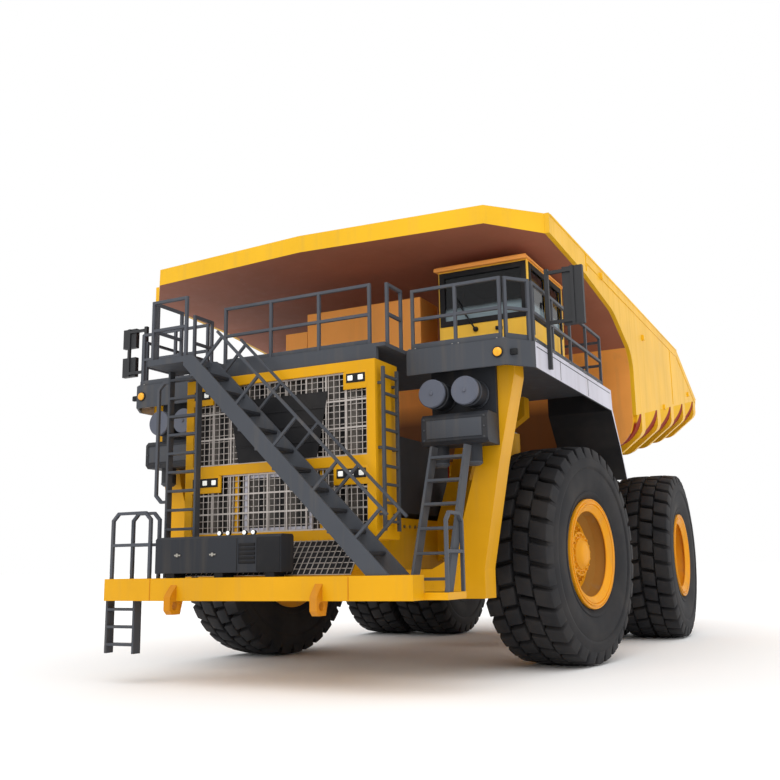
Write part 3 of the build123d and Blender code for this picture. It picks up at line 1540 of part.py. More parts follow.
def pivot_web():
    """Side view of the lengthways webs that ride on the pivot pins."""
    front = aft(WALL_Y) + WEB_SET
    back = PIVOT_Y + 1.6 * EAR_RADIUS
    slant = EAR_RADIUS * math.sqrt(0.5)
    return [
        (front, WEB_BOTTOM),
        (front, floor_z(front)),
        (back, floor_z(back)),
        (PIVOT_Y + EAR_RADIUS, PIVOT_Z),
        (PIVOT_Y + slant, PIVOT_Z - slant),
        (PIVOT_Y, PIVOT_Z - EAR_RADIUS),
        (PIVOT_Y - EAR_RADIUS, WEB_BOTTOM),
    ]


def body_floor():
    y0 = aft(WALL_Y) + BODY_WALL
    z = floor_z(y0)
    section = trough_line(z, 0) + trough_line(z, FLOOR_THICK) + trough_ends(z, 0, FLOOR_THICK)
    pieces = [along_floor(section, y0, tail_y())]
    pieces += [bolster(y) for y in bolster_stations()]
    inner_x = RAIL_IN - SIDE_GAP
    outer_x = RAIL_OUT + SIDE_GAP
    hole = rod((0, PIVOT_Y, PIVOT_Z), (outer_x + WEB_THICK, PIVOT_Y, PIVOT_Z), PIVOT_PIN + RUN_GAP)
    for a, b in ((inner_x - WEB_THICK, inner_x), (outer_x, outer_x + WEB_THICK)):
        web = side_plate(pivot_web(), a, b) - hole
        pieces += [web, other_side(web)]
    gap = HOIST_HALF + SIDE_GAP
    for x in (HOIST_X - gap - HOIST_EAR, HOIST_X + gap):
        wide = HOIST_EYE * 1.3
        slim = HOIST_EYE * 0.7
        outline = [
            (HOIST_HEAD_Y - wide, floor_z(HOIST_HEAD_Y - wide)),
            (HOIST_HEAD_Y + wide, floor_z(HOIST_HEAD_Y + wide)),
            (HOIST_HEAD_Y + slim, HOIST_HEAD_Z - slim),
            (HOIST_HEAD_Y - slim, HOIST_HEAD_Z - slim),
        ]
        ear = side_plate(outline, x, x + HOIST_EAR)
        pieces += [ear, other_side(ear)]
    return fuse(pieces)


# Two-stage hoists.
def hoist_way():
    return Vector(0, HOIST_HEAD_Y - HOIST_BASE_Y, HOIST_HEAD_Z - HOIST_BASE_Z)


def along_hoist(distance):
    """Point on a hoist's line this far from its lower pin."""
    step = hoist_way().normalized() * distance
    return (HOIST_X, HOIST_BASE_Y + step.Y, HOIST_BASE_Z + step.Z)


def hoist_eye(point, hole):
    """Eye at a hoist's end, and the cutter for its pin."""
    x0 = HOIST_X - HOIST_HALF
    x1 = HOIST_X + HOIST_HALF
    x, y, z = point
    return rod((x0, y, z), (x1, y, z), HOIST_EYE), rod((x0, y, z), (x1, y, z), hole)


def hoist_barrel():
    mouth = hoist_way().length - HOIST_COLLAR
    ring, hole = hoist_eye(along_hoist(0), HOIST_PIN + RUN_GAP)
    tube = rod(along_hoist(HOIST_PIN + 2 * SIDE_GAP), along_hoist(mouth), BARREL_RADIUS)
    bore = rod(along_hoist(HOIST_EYE + HOIST_PIN), along_hoist(mouth), STAGE_RADIUS + RUN_GAP)
    return fuse([ring, tube]) - hole - bore


def hoist_stage():
    mouth = hoist_way().length - HOIST_COLLAR + 2 * HOIST_STEP
    foot = HOIST_EYE + HOIST_PIN + HOIST_STEP
    tube = rod(along_hoist(foot), along_hoist(mouth), STAGE_RADIUS)
    return tube - rod(along_hoist(foot + HOIST_STEP), along_hoist(mouth), ROD_RADIUS + RUN_GAP)


def hoist_rod():
    length = hoist_way().length
    foot = HOIST_EYE + HOIST_PIN + 3 * HOIST_STEP
    shaft = rod(along_hoist(foot), along_hoist(length - HOIST_PIN), ROD_RADIUS)
    ring, hole = hoist_eye(along_hoist(length), HOIST_PIN)
    return fuse([shaft, ring]) - hole


def nodes():
    """Every named piece of the truck."""
    wheel = Pos(FRONT_TRACK / 2, FRONT_AXLE_Y, AXLE_Z)
    duals = Pos(rear_centre_x(), REAR_AXLE_Y, AXLE_Z)
    casing = tyre()
    rubber = wheel * casing
    rim = wheel * front_rim()
    off = dual_offset()
    twin = duals * group([Pos(-off, 0, 0) * casing, Pos(off, 0, 0) * casing])
    rims = duals * rear_rims()
    rail = frame_rail()
    pin = pivot_pin()
    arm = knuckle()
    support = strut()
    cushion = rear_strut()
    deck = side_deck()
    flap = mudguard()
    side = body_side()
    barrel = hoist_barrel()
    stage = hoist_stage()
    shaft = hoist_rod()
    return {
        "frame_rail_left": rail,
        "frame_rail_right": other_side(rail),
        "frame_cross_members": cross_members(),
        "deck_supports": deck_supports(),
        "front_bumper": front_bumper(),
        "radiator_surround": radiator_surround(),
        "radiator_core": radiator_core(),
        "grille_screens": grille_screens(),
        "lamps": lamps(),
        "engine": engine(),
        "main_stair": main_stair(),
        "access_ladders": ladders(),
        "handrails": handrails(),
        "equipment_box": equipment_box(),
        "side_decks": pair(deck),
        "mid_deck": mid_deck(),
        "deck_railings": deck_railings(),
        "cab_floor": cab_floor(),
        "cab_roof": cab_roof(),
        "cab_end_walls": cab_ends(),
        "cab_side_walls": cab_sides(),
        "cab_glass": cab_glass(),
        "cab_seat": cab_seat(),
        "cab_console": cab_console(),
        "cab_door": door_leaf(),
        "cab_door_glass": door_glass(),
        "control_cabinets": control_cabinet(),
        "air_cleaners": air_cleaners(),
        "mudguards": pair(flap),
        "mirrors": mirrors(),
        "fuel_tank": tank(FUEL_WIDE, FUEL_BOTTOM),
        "hydraulic_tank": other_side(tank(OIL_WIDE, OIL_BOTTOM)),
        "front_struts": pair(support),
        "rear_axle": rear_axle(),
        "rear_struts": pair(cushion),
        "body_pivot_pins": pair(pin),
        "steer_knuckle_left": steered(arm, 1),
        "steer_knuckle_right": steered(other_side(arm), -1),
        "tie_rod": tie_rod(),
        "front_tyre_left": steered(rubber, 1),
        "front_tyre_right": steered(other_side(rubber), -1),
        "front_rim_left": steered(rim, 1),
        "front_rim_right": steered(other_side(rim), -1),
        "rear_tyres_left": twin,
        "rear_tyres_right": other_side(twin),
        "rear_rims_left": rims,
        "rear_rims_right": other_side(rims),
        "body_floor": body_floor(),
        "body_front": body_front(),
        "body_canopy": body_canopy(),
        "body_side_left": side,
        "body_side_right": other_side(side),
        "hoist_barrel_left": barrel,
        "hoist_barrel_right": other_side(barrel),
        "hoist_stage_left": stage,
        "hoist_stage_right": other_side(stage),
        "hoist_rod_left": shaft,
        "hoist_rod_right": other_side(shaft),
    }


if __name__ == "__main__":
    os.makedirs("parts", exist_ok=True)
    for name, shape in nodes().items():
        export_step(shape, os.path.join("parts", name + ".step"))
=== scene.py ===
"""Looks of a rigid mining dump truck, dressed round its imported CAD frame."""

import json
import math
from collections import namedtuple

import bmesh
import bpy
from bpy.props import FloatProperty, FloatVectorProperty, IntProperty, PointerProperty
from mathutils import Matrix, Quaternion, Vector


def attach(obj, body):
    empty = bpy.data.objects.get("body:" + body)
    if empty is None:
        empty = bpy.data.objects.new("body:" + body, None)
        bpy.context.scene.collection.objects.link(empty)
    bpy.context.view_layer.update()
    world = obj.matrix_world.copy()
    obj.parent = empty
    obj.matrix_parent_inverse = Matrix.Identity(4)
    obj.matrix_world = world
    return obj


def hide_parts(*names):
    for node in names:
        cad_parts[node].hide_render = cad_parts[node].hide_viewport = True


bl_info = {
    "name": "Mining dump truck dressing",
    "version": (1, 0, 0),
    "blender": (4, 5, 0),
    "location": "View3D > Sidebar > Dump truck",
    "description": "Adds tread, screens, lamps, fasteners and finishes to the packed dump truck",
    "category": "Object",
}

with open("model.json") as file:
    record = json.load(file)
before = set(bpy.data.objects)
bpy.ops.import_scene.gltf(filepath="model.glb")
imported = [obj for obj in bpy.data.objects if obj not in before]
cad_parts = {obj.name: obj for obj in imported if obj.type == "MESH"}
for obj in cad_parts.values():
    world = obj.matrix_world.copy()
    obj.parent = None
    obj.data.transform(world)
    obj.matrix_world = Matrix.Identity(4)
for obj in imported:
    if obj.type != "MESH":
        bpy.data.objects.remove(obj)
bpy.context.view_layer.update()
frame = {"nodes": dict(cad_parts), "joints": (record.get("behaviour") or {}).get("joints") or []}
NODES = frame["nodes"]
JOINTS = {joint["name"]: joint for joint in frame["joints"]}

# Places and sizes are in metres in the CAD frame, where forward is -Y and the truck's left is +X.
ORIGIN = Vector((0, 0, 0))
UP = Vector((0, 0, 1))
FORWARD = Vector((0, -1, 0))
AXLE = Vector((1, 0, 0))
OTHER_SIDE = (-1, 1, 1)
SHARP = math.radians(30)
WELD = 0.0005

# Load floor, whose underside rises towards the tail, and the ribs under it.
FLOOR_START_Y = -2.9
FLOOR_START_Z = 3.56
FLOOR_SLOPE = 0.19
TROUGH_HIGH = 0.75
BOLSTER_LENGTH = 0.38
BOLSTER_DEPTH = 0.30
BOLSTER_FIRST = 0.53
BOLSTER_PITCH = 1.8125
BOLSTER_EDGE = 0.02
# How far the red-brown painted shade reaches ahead of a rib, at the trough's foot and at its top.
GAP_SHADE_LOW = 1.7
GAP_SHADE_HIGH = 0.15
# Where the painted shade on the body's front wall, under the decks, starts to fade upwards and outwards, and
# where it ends.
UNDER_DECK_SHADE_HIGH = (5.0, 5.5)
UNDER_DECK_SHADE_WIDE = (3.0, 3.4)
UNDER_DECK_SHADE_MOST = 0.85
# Where the painted reflection on the cab's glass starts to fade upwards from its lower edge, and where it
# ends.
GLASS_REFLECTION = (6.03, 6.12)


def linear(code):
    """Linear colour of an sRGB hex value, with full alpha."""
    parts = [int(code[i : i + 2], 16) / 255 for i in (1, 3, 5)]
    return [p / 12.92 if p <= 0.04045 else ((p + 0.055) / 1.055) ** 2.4 for p in parts] + [1.0]


def tone(code, name, description):
    """Colour property that a user can change."""
    return FloatVectorProperty(
        name=name, description=description, subtype="COLOR", size=4, min=0, max=1, default=linear(code)
    )


def length(default, name, description):
    """Length property in metres."""
    return FloatProperty(
        name=name, description=description, default=default, min=0, subtype="DISTANCE", unit="LENGTH"
    )


class FinishSettings(bpy.types.PropertyGroup):
    """Colours of the truck's finishes"""

    body: tone("#EAB41E", "Body yellow", "Enamel on the outside of the dump body")
    chassis: tone("#D99D08", "Chassis yellow", "Enamel on the frame, the bumper and the radiator frame")
    cab: tone("#FFC644", "Cab yellow", "Enamel on the operator's cab")
    cabinet: tone("#F7A44E", "Cabinet orange", "Enamel on the control cabinets")
    # The underside brown is painted shade: the canopy's underside is darkened and browned where it lies in
    # shade.
    shade: tone("#9A5E48", "Underside brown", "Thin coat on the underside of the canopy")
    # The red oxide is painted shade: red-brown stands in for the shade in the gaps between the ribs under the
    # load floor.
    rib_gap_shade: tone("#8A2A18", "Red oxide", "Primer under the load floor")
    deck: tone("#45484E", "Deck grey", "Paint on decks, stairs and boxes")
    rail: tone("#4C4F56", "Rail grey", "Paint on railings and ladders")
    fascia: tone("#C6C4CF", "Fascia grey", "Pale paint on the outer edges of the decks")
    rim: tone("#E2980F", "Rim yellow", "Enamel on the wheels")
    rubber: tone("#1F1F22", "Tyre black", "Rubber of tyres and flaps")


class TyreSettings(bpy.types.PropertyGroup):
    """Sizes of one tyre"""

    lugs: IntProperty(name="Lugs", description="Lugs round each half of the tread", default=32, min=8)
    radius: length(1.92, "Radius", "Outer radius over the lugs")
    floor: length(1.80, "Tread floor", "Radius between the lugs")
    rounding: length(0.014, "Lug rounding", "Bevel on the edges of a lug")


class ScreenSettings(bpy.types.PropertyGroup):
    """Sizes of the radiator screens"""

    wire: length(0.008, "Wire", "Half thickness of a screen wire")
    pitch: length(0.10, "Pitch", "Spacing of the screen wires")


class StageSettings(bpy.types.PropertyGroup):
    """Floor and light"""

    floor: tone("#FCFCFC", "Floor", "Pale studio floor")
    world: FloatProperty(name="Sky", description="Strength of the even sky light", default=0.95, min=0)
    key: FloatProperty(name="Key", description="Strength of the main soft lamp", default=0.98, min=0)
    fill: FloatProperty(name="Fill", description="Strength of the second soft lamp", default=0.25, min=0)


class TruckSettings(bpy.types.PropertyGroup):
    """All settings of the dressing"""

    finish: PointerProperty(type=FinishSettings)
    tyre: PointerProperty(type=TyreSettings)
    screen: PointerProperty(type=ScreenSettings)
    stage: PointerProperty(type=StageSettings)


def settings():
    """The scene's own settings of the dressing."""
    return bpy.context.scene.dump_truck


def floor_line(y):
    """Height of the load floor's underside at a station."""
    return FLOOR_START_Z + FLOOR_SLOPE * (y - FLOOR_START_Y)


# Materials.
FINISHES = {}


def add(tree, kind, inputs=None, **values):
    """Adds a node with its settings, its fixed inputs and its links."""
    node = tree.nodes.new(kind)
    for name, value in values.items():
        setattr(node, name, value)
    for name, value in (inputs or {}).items():
        socket = node.inputs[name]
        if isinstance(value, bpy.types.NodeSocket):
            tree.links.new(value, socket)
        else:
            socket.default_value = value
    return node


def start(name, roughness, metallic=0.0):
    """New material: its tree, its shader and its object coordinates."""
    material = bpy.data.materials.new(name)
    material.use_nodes = True
    FINISHES[name] = material
    tree = material.node_tree
    shader = tree.nodes["Principled BSDF"]
    shader.inputs["Roughness"].default_value = roughness
    shader.inputs["Metallic"].default_value = metallic
    place = add(tree, "ShaderNodeTexCoord").outputs["Object"]
    return tree, shader, place


def per(millimetres):
    """Texture scale that gives a feature of this size on object coordinates in metres."""
    return 1000 / millimetres


def tinted(colour, amount):
    """Colour made lighter above one or darker below it."""
    return [min(1, c * amount) for c in colour[:3]] + [1.0]


def enamel(name, colour, gloss, dusty=0.16):
    """Sprayed enamel on welded plate.

    It shows broad faded patches, thin dust that has run down in streaks, paler paint along
    the edges that is partly wear and partly a painted highlight, and a faint orange peel in its gloss.
    """
    tree, shader, place = start(name, gloss)
    shader.inputs["Specular IOR Level"].default_value = 0.2
    patches = add(tree, "ShaderNodeTexNoise", {"Vector": place, "Scale": per(1400), "Detail": 4})
    spread = add(
        tree,
        "ShaderNodeMapRange",
        {"Value": patches.outputs["Fac"], "From Min": 0.35, "From Max": 0.65},
    )
    faded = add(
        tree,
        "ShaderNodeMixRGB",
        {"Fac": spread.outputs["Result"], "Color1": tinted(colour, 0.93), "Color2": tinted(colour, 1.05)},
    )
    run = add(tree, "ShaderNodeMapping", {"Vector": place, "Scale": (per(160), per(160), per(2600))})
    streaks = add(tree, "ShaderNodeTexNoise", {"Vector": run.outputs["Vector"], "Scale": 1.0, "Detail": 5})
    film = add(
        tree,
        "ShaderNodeMapRange",
        {"Value": streaks.outputs["Fac"], "From Min": 0.52, "From Max": 0.82, "To Max": dusty},
    )
    dirty = add(
        tree,
        "ShaderNodeMixRGB",
        {"Fac": film.outputs["Result"], "Color1": faded.outputs["Color"], "Color2": linear("#8C7A5E")},
    )
    round_edge = add(tree, "ShaderNodeBevel", {"Radius": 0.012}, samples=4)
    flat = add(tree, "ShaderNodeNewGeometry")
    across = add(
        tree,
        "ShaderNodeVectorMath",
        {0: round_edge.outputs["Normal"], 1: flat.outputs["Normal"]},
        operation="DOT_PRODUCT",
    )
    # Paler colour along the rounded edges: partly wear, partly a painted highlight.
    edge = add(
        tree,
        "ShaderNodeMapRange",
        {"Value": across.outputs["Value"], "From Min": 0.80, "From Max": 0.99, "To Min": 0.45, "To Max": 0.0},
    )
    worn_and_highlit = add(
        tree,
        "ShaderNodeMixRGB",
        {"Fac": edge.outputs["Result"], "Color1": dirty.outputs["Color"], "Color2": tinted(colour, 1.35)},
    )
    tree.links.new(worn_and_highlit.outputs["Color"], shader.inputs["Base Color"])
    peel = add(tree, "ShaderNodeTexNoise", {"Vector": place, "Scale": per(55), "Detail": 2})
    sheen = add(
        tree,
        "ShaderNodeMapRange",
        {"Value": streaks.outputs["Fac"], "To Min": gloss - 0.08, "To Max": gloss + 0.22},
    )
    tree.links.new(sheen.outputs["Result"], shader.inputs["Roughness"])
    bump = add(
        tree,
        "ShaderNodeBump",
        {
            "Strength": 0.06,
            "Distance": 0.004,
            "Height": peel.outputs["Fac"],
            "Normal": round_edge.outputs["Normal"],
        },
    )
    tree.links.new(bump.outputs["Normal"], shader.inputs["Normal"])


def under_deck_shaded_enamel(name, colour, under_deck_shade):
    """Enamel darkened and browned with painted shade under the decks, between the mudguards."""
    enamel(name, colour, 0.42)
    tree = FINISHES[name].node_tree
    shader = tree.nodes["Principled BSDF"]
    paint = shader.inputs["Base Color"].links[0].from_socket
    place = add(tree, "ShaderNodeTexCoord").outputs["Object"]
    axes = add(tree, "ShaderNodeSeparateXYZ", {"Vector": place})
    out = add(tree, "ShaderNodeMath", {0: axes.outputs["X"]}, operation="ABSOLUTE")
    low = add(
        tree,
        "ShaderNodeMapRange",
        {
            "Value": axes.outputs["Z"],
            "From Min": UNDER_DECK_SHADE_HIGH[0],
            "From Max": UNDER_DECK_SHADE_HIGH[1],
            "To Min": UNDER_DECK_SHADE_MOST,
            "To Max": 0.0,
        },
    )
    inner = add(
        tree,
        "ShaderNodeMapRange",
        {
            "Value": out.outputs["Value"],
            "From Min": UNDER_DECK_SHADE_WIDE[0],
            "From Max": UNDER_DECK_SHADE_WIDE[1],
            "To Min": 1.0,
            "To Max": 0.0,
        },
    )
    film = add(
        tree,
        "ShaderNodeMath",
        {0: low.outputs["Result"], 1: inner.outputs["Result"]},
        operation="MULTIPLY",
    )
    coat = add(tree, "ShaderNodeMixRGB", {"Fac": film.outputs["Value"], "Color1": paint, "Color2": under_deck_shade})
    tree.links.new(coat.outputs["Color"], shader.inputs["Base Color"])


def trough_paint_with_gap_shade(name, colour, rib_gap_shade):
    """Enamel on the trough of the load floor, with red-brown painted shade in the gap ahead of each rib."""
    tree, shader, place = start(name, 0.7)
    shader.inputs["Specular IOR Level"].default_value = 0.1
    axes = add(tree, "ShaderNodeSeparateXYZ", {"Vector": place})
    along = add(tree, "ShaderNodeMath", {0: axes.outputs["Y"], 1: BOLSTER_FIRST}, operation="SUBTRACT")
    past = add(
        tree,
        "ShaderNodeMath",
        {0: along.outputs["Value"], 1: BOLSTER_PITCH},
        operation="FLOORED_MODULO",
    )
    rise = add(tree, "ShaderNodeMath", {0: axes.outputs["Y"], 1: FLOOR_SLOPE}, operation="MULTIPLY")
    high = add(tree, "ShaderNodeMath", {0: axes.outputs["Z"], 1: rise.outputs["Value"]}, operation="SUBTRACT")
    low = floor_line(0)
    far = add(
        tree,
        "ShaderNodeMapRange",
        {
            "Value": high.outputs["Value"],
            "From Min": low - BOLSTER_DEPTH,
            "From Max": low + TROUGH_HIGH,
            "To Min": BOLSTER_PITCH - GAP_SHADE_LOW,
            "To Max": BOLSTER_PITCH - GAP_SHADE_HIGH,
        },
    )
    cloud = add(tree, "ShaderNodeTexNoise", {"Vector": place, "Scale": per(350), "Detail": 4})
    beyond = add(
        tree,
        "ShaderNodeMath",
        {0: past.outputs["Value"], 1: far.outputs["Result"]},
        operation="SUBTRACT",
    )
    # Red-brown painted shade fills the gap ahead of each rib and is wider towards the trough's foot.
    gap = add(
        tree,
        "ShaderNodeMapRange",
        {"Value": beyond.outputs["Value"], "From Min": 0.0, "From Max": 0.08},
    )
    shade = add(
        tree,
        "ShaderNodeMixRGB",
        {"Fac": cloud.outputs["Fac"], "Color1": tinted(colour, 0.85), "Color2": tinted(colour, 1.05)},
    )
    coat = add(
        tree,
        "ShaderNodeMixRGB",
        {"Fac": gap.outputs["Result"], "Color1": shade.outputs["Color"], "Color2": rib_gap_shade},
    )
    tree.links.new(coat.outputs["Color"], shader.inputs["Base Color"])
    bump = add(tree, "ShaderNodeBump", {"Strength": 0.1, "Distance": 0.004, "Height": cloud.outputs["Fac"]})
    tree.links.new(bump.outputs["Normal"], shader.inputs["Normal"])


def tread_plate(name, colour):
    """Painted steel plate with raised teardrop grip, scuffed paler on the lugs.

    The grip is drawn at 90 mm, three times its real pitch, so that it shows at this distance.
    """
    tree, shader, place = start(name, 0.62)
    turned = add(tree, "ShaderNodeMapping", {"Vector": place, "Rotation": (0, 0, math.radians(45))})
    grid = add(
        tree,
        "ShaderNodeTexVoronoi",
        {"Vector": turned.outputs["Vector"], "Scale": per(90), "Randomness": 0.0},
        distance="CHEBYCHEV",
    )
    grip = add(
        tree,
        "ShaderNodeMapRange",
        {"Value": grid.outputs["Distance"], "From Min": 0.18, "From Max": 0.34},
    )
    scuff = add(tree, "ShaderNodeTexNoise", {"Vector": place, "Scale": per(420), "Detail": 5})
    grey = add(
        tree,
        "ShaderNodeMixRGB",
        {"Fac": scuff.outputs["Fac"], "Color1": tinted(colour, 0.82), "Color2": tinted(colour, 1.25)},
    )
    rubbed = add(
        tree,
        "ShaderNodeMixRGB",
        {"Fac": grip.outputs["Result"], "Color1": tinted(colour, 1.5), "Color2": grey.outputs["Color"]},
    )
    tree.links.new(rubbed.outputs["Color"], shader.inputs["Base Color"])
    bump = add(
        tree,
        "ShaderNodeBump",
        {"Strength": 0.5, "Distance": 0.004, "Height": grip.outputs["Result"]},
        invert=True,
    )
    tree.links.new(bump.outputs["Normal"], shader.inputs["Normal"])


def rubber(name, colour, grain, dusty):
    """Moulded rubber: matt, dusted brown in patches, with fine moulding grain."""
    tree, shader, place = start(name, 0.78)
    shader.inputs["Specular IOR Level"].default_value = 0.3
    cloud = add(tree, "ShaderNodeTexNoise", {"Vector": place, "Scale": per(650), "Detail": 6})
    film = add(
        tree,
        "ShaderNodeMapRange",
        {"Value": cloud.outputs["Fac"], "From Min": 0.42, "From Max": 0.75, "To Max": dusty},
    )
    tint = add(
        tree,
        "ShaderNodeMixRGB",
        {"Fac": film.outputs["Result"], "Color1": colour, "Color2": linear("#6A625A")},
    )
    tree.links.new(tint.outputs["Color"], shader.inputs["Base Color"])
    pores = add(tree, "ShaderNodeTexNoise", {"Vector": place, "Scale": per(grain), "Detail": 3})
    bump = add(tree, "ShaderNodeBump", {"Strength": 0.18, "Distance": 0.004, "Height": pores.outputs["Fac"]})
    tree.links.new(bump.outputs["Normal"], shader.inputs["Normal"])


def bare_metal(name, colour, roughness, grain, way):
    """Bare metal with a drawn or turned grain along one direction, a little stained."""
    tree, shader, place = start(name, roughness, 1.0)
    drawn = add(tree, "ShaderNodeMapping", {"Vector": place, "Scale": [per(grain) / w for w in way]})
    lines = add(tree, "ShaderNodeTexNoise", {"Vector": drawn.outputs["Vector"], "Scale": 1.0, "Detail": 4})
    stain = add(
        tree,
        "ShaderNodeMixRGB",
        {"Fac": lines.outputs["Fac"], "Color1": tinted(colour, 0.8), "Color2": tinted(colour, 1.1)},
    )
    tree.links.new(stain.outputs["Color"], shader.inputs["Base Color"])
    spread = add(
        tree,
        "ShaderNodeMapRange",
        {"Value": lines.outputs["Fac"], "To Min": roughness * 0.7, "To Max": roughness * 1.4},
    )
    tree.links.new(spread.outputs["Result"], shader.inputs["Roughness"])


def cast_iron(name, colour):
    """Sand-cast iron: dull, with a grainy skin and oily darker patches."""
    tree, shader, place = start(name, 0.66, 0.25)
    oil = add(tree, "ShaderNodeTexNoise", {"Vector": place, "Scale": per(500), "Detail": 5})
    skin = add(tree, "ShaderNodeTexNoise", {"Vector": place, "Scale": per(28), "Detail": 3})
    patch = add(
        tree,
        "ShaderNodeMixRGB",
        {"Fac": oil.outputs["Fac"], "Color1": tinted(colour, 0.6), "Color2": tinted(colour, 1.3)},
    )
    tree.links.new(patch.outputs["Color"], shader.inputs["Base Color"])
    bump = add(tree, "ShaderNodeBump", {"Strength": 0.3, "Distance": 0.004, "Height": skin.outputs["Fac"]})
    tree.links.new(bump.outputs["Normal"], shader.inputs["Normal"])


def core_fins(name):
    """Finned radiator core: dark folded strip between upright tubes, 60 mm apart to show."""
    tree, shader, place = start(name, 0.5, 0.6)
    tubes = add(
        tree,
        "ShaderNodeTexWave",
        {"Vector": place, "Scale": per(60) / 20, "Distortion": 0.0},
        bands_direction="X",
    )
    rust = add(tree, "ShaderNodeTexNoise", {"Vector": place, "Scale": per(700), "Detail": 4})
    metal = add(
        tree,
        "ShaderNodeMixRGB",
        {"Fac": rust.outputs["Fac"], "Color1": linear("#4A4846"), "Color2": linear("#8A827A")},
    )
    lined = add(
        tree,
        "ShaderNodeMixRGB",
        {"Fac": tubes.outputs["Fac"], "Color1": linear("#141416"), "Color2": metal.outputs["Color"]},
    )
    tree.links.new(lined.outputs["Color"], shader.inputs["Base Color"])
    bump = add(tree, "ShaderNodeBump", {"Strength": 0.5, "Distance": 0.02, "Height": tubes.outputs["Fac"]})
    tree.links.new(bump.outputs["Normal"], shader.inputs["Normal"])


def tinted_glass(name, colour, clear, painted_reflection):
    """Laminated safety glass: smooth and dark, with a pale blue painted reflection above its lower edge."""
    tree, shader, place = start(name, 0.06)
    shader.inputs["IOR"].default_value = 1.52
    shader.inputs["Alpha"].default_value = clear
    shader.inputs["Specular IOR Level"].default_value = 0.25
    film = add(tree, "ShaderNodeTexNoise", {"Vector": place, "Scale": per(300), "Detail": 4})
    axes = add(tree, "ShaderNodeSeparateXYZ", {"Vector": place})
    ragged = add(tree, "ShaderNodeMath", {0: film.outputs["Fac"], 1: 0.05}, operation="MULTIPLY")
    height = add(tree, "ShaderNodeMath", {0: axes.outputs["Z"], 1: ragged.outputs["Value"]})
    low = add(
        tree,
        "ShaderNodeMapRange",
        {
            "Value": height.outputs["Value"],
            "From Min": GLASS_REFLECTION[0],
            "From Max": GLASS_REFLECTION[1],
            "To Min": 0.8,
            "To Max": 0.0,
        },
    )
    # Pale blue painted reflection along the lower edge of the pane.
    pane = add(tree, "ShaderNodeMixRGB", {"Fac": low.outputs["Result"], "Color1": colour, "Color2": painted_reflection})
    tree.links.new(pane.outputs["Color"], shader.inputs["Base Color"])


def lens(name, colour, glow):
    """Moulded lamp lens: glossy, with upright flutes 18 mm apart."""
    tree, shader, place = start(name, 0.12)
    shader.inputs["Emission Color"].default_value = colour
    shader.inputs["Emission Strength"].default_value = glow
    flutes = add(
        tree,
        "ShaderNodeTexWave",
        {"Vector": place, "Scale": per(18) / 20, "Distortion": 0.0},
        bands_direction="X",
    )
    glassy = add(
        tree,
        "ShaderNodeMixRGB",
        {"Fac": flutes.outputs["Fac"], "Color1": tinted(colour, 0.8), "Color2": colour},
    )
    tree.links.new(glassy.outputs["Color"], shader.inputs["Base Color"])
    bump = add(tree, "ShaderNodeBump", {"Strength": 0.3, "Distance": 0.003, "Height": flutes.outputs["Fac"]})
    tree.links.new(bump.outputs["Normal"], shader.inputs["Normal"])


def plastic(name, colour):
    """Moulded black plastic with a fine leather grain, drawn at 12 mm to show."""
    tree, shader, place = start(name, 0.55)
    grain = add(tree, "ShaderNodeTexVoronoi", {"Vector": place, "Scale": per(12)})
    tint = add(
        tree,
        "ShaderNodeMixRGB",
        {"Fac": grain.outputs["Distance"], "Color1": tinted(colour, 0.8), "Color2": tinted(colour, 1.4)},
    )
    tree.links.new(tint.outputs["Color"], shader.inputs["Base Color"])
    bump = add(
        tree,
        "ShaderNodeBump",
        {"Strength": 0.2, "Distance": 0.002, "Height": grain.outputs["Distance"]},
    )
    tree.links.new(bump.outputs["Normal"], shader.inputs["Normal"])


def woven(name, colour):
    """Woven seat cloth with crossing threads 8 mm apart, drawn coarse to show."""
    tree, shader, place = start(name, 0.9)
    shader.inputs["Sheen Weight"].default_value = 0.4
    warp = add(tree, "ShaderNodeTexWave", {"Vector": place, "Scale": per(8) / 20}, bands_direction="X")
    weft = add(tree, "ShaderNodeTexWave", {"Vector": place, "Scale": per(8) / 20}, bands_direction="Z")
    cloth = add(
        tree,
        "ShaderNodeMath",
        {0: warp.outputs["Fac"], 1: weft.outputs["Fac"]},
        operation="MULTIPLY",
    )
    tint = add(
        tree,
        "ShaderNodeMixRGB",
        {"Fac": cloth.outputs["Value"], "Color1": tinted(colour, 0.7), "Color2": tinted(colour, 1.5)},
    )
    tree.links.new(tint.outputs["Color"], shader.inputs["Base Color"])
    bump = add(tree, "ShaderNodeBump", {"Strength": 0.3, "Distance": 0.002, "Height": cloth.outputs["Value"]})
    tree.links.new(bump.outputs["Normal"], shader.inputs["Normal"])


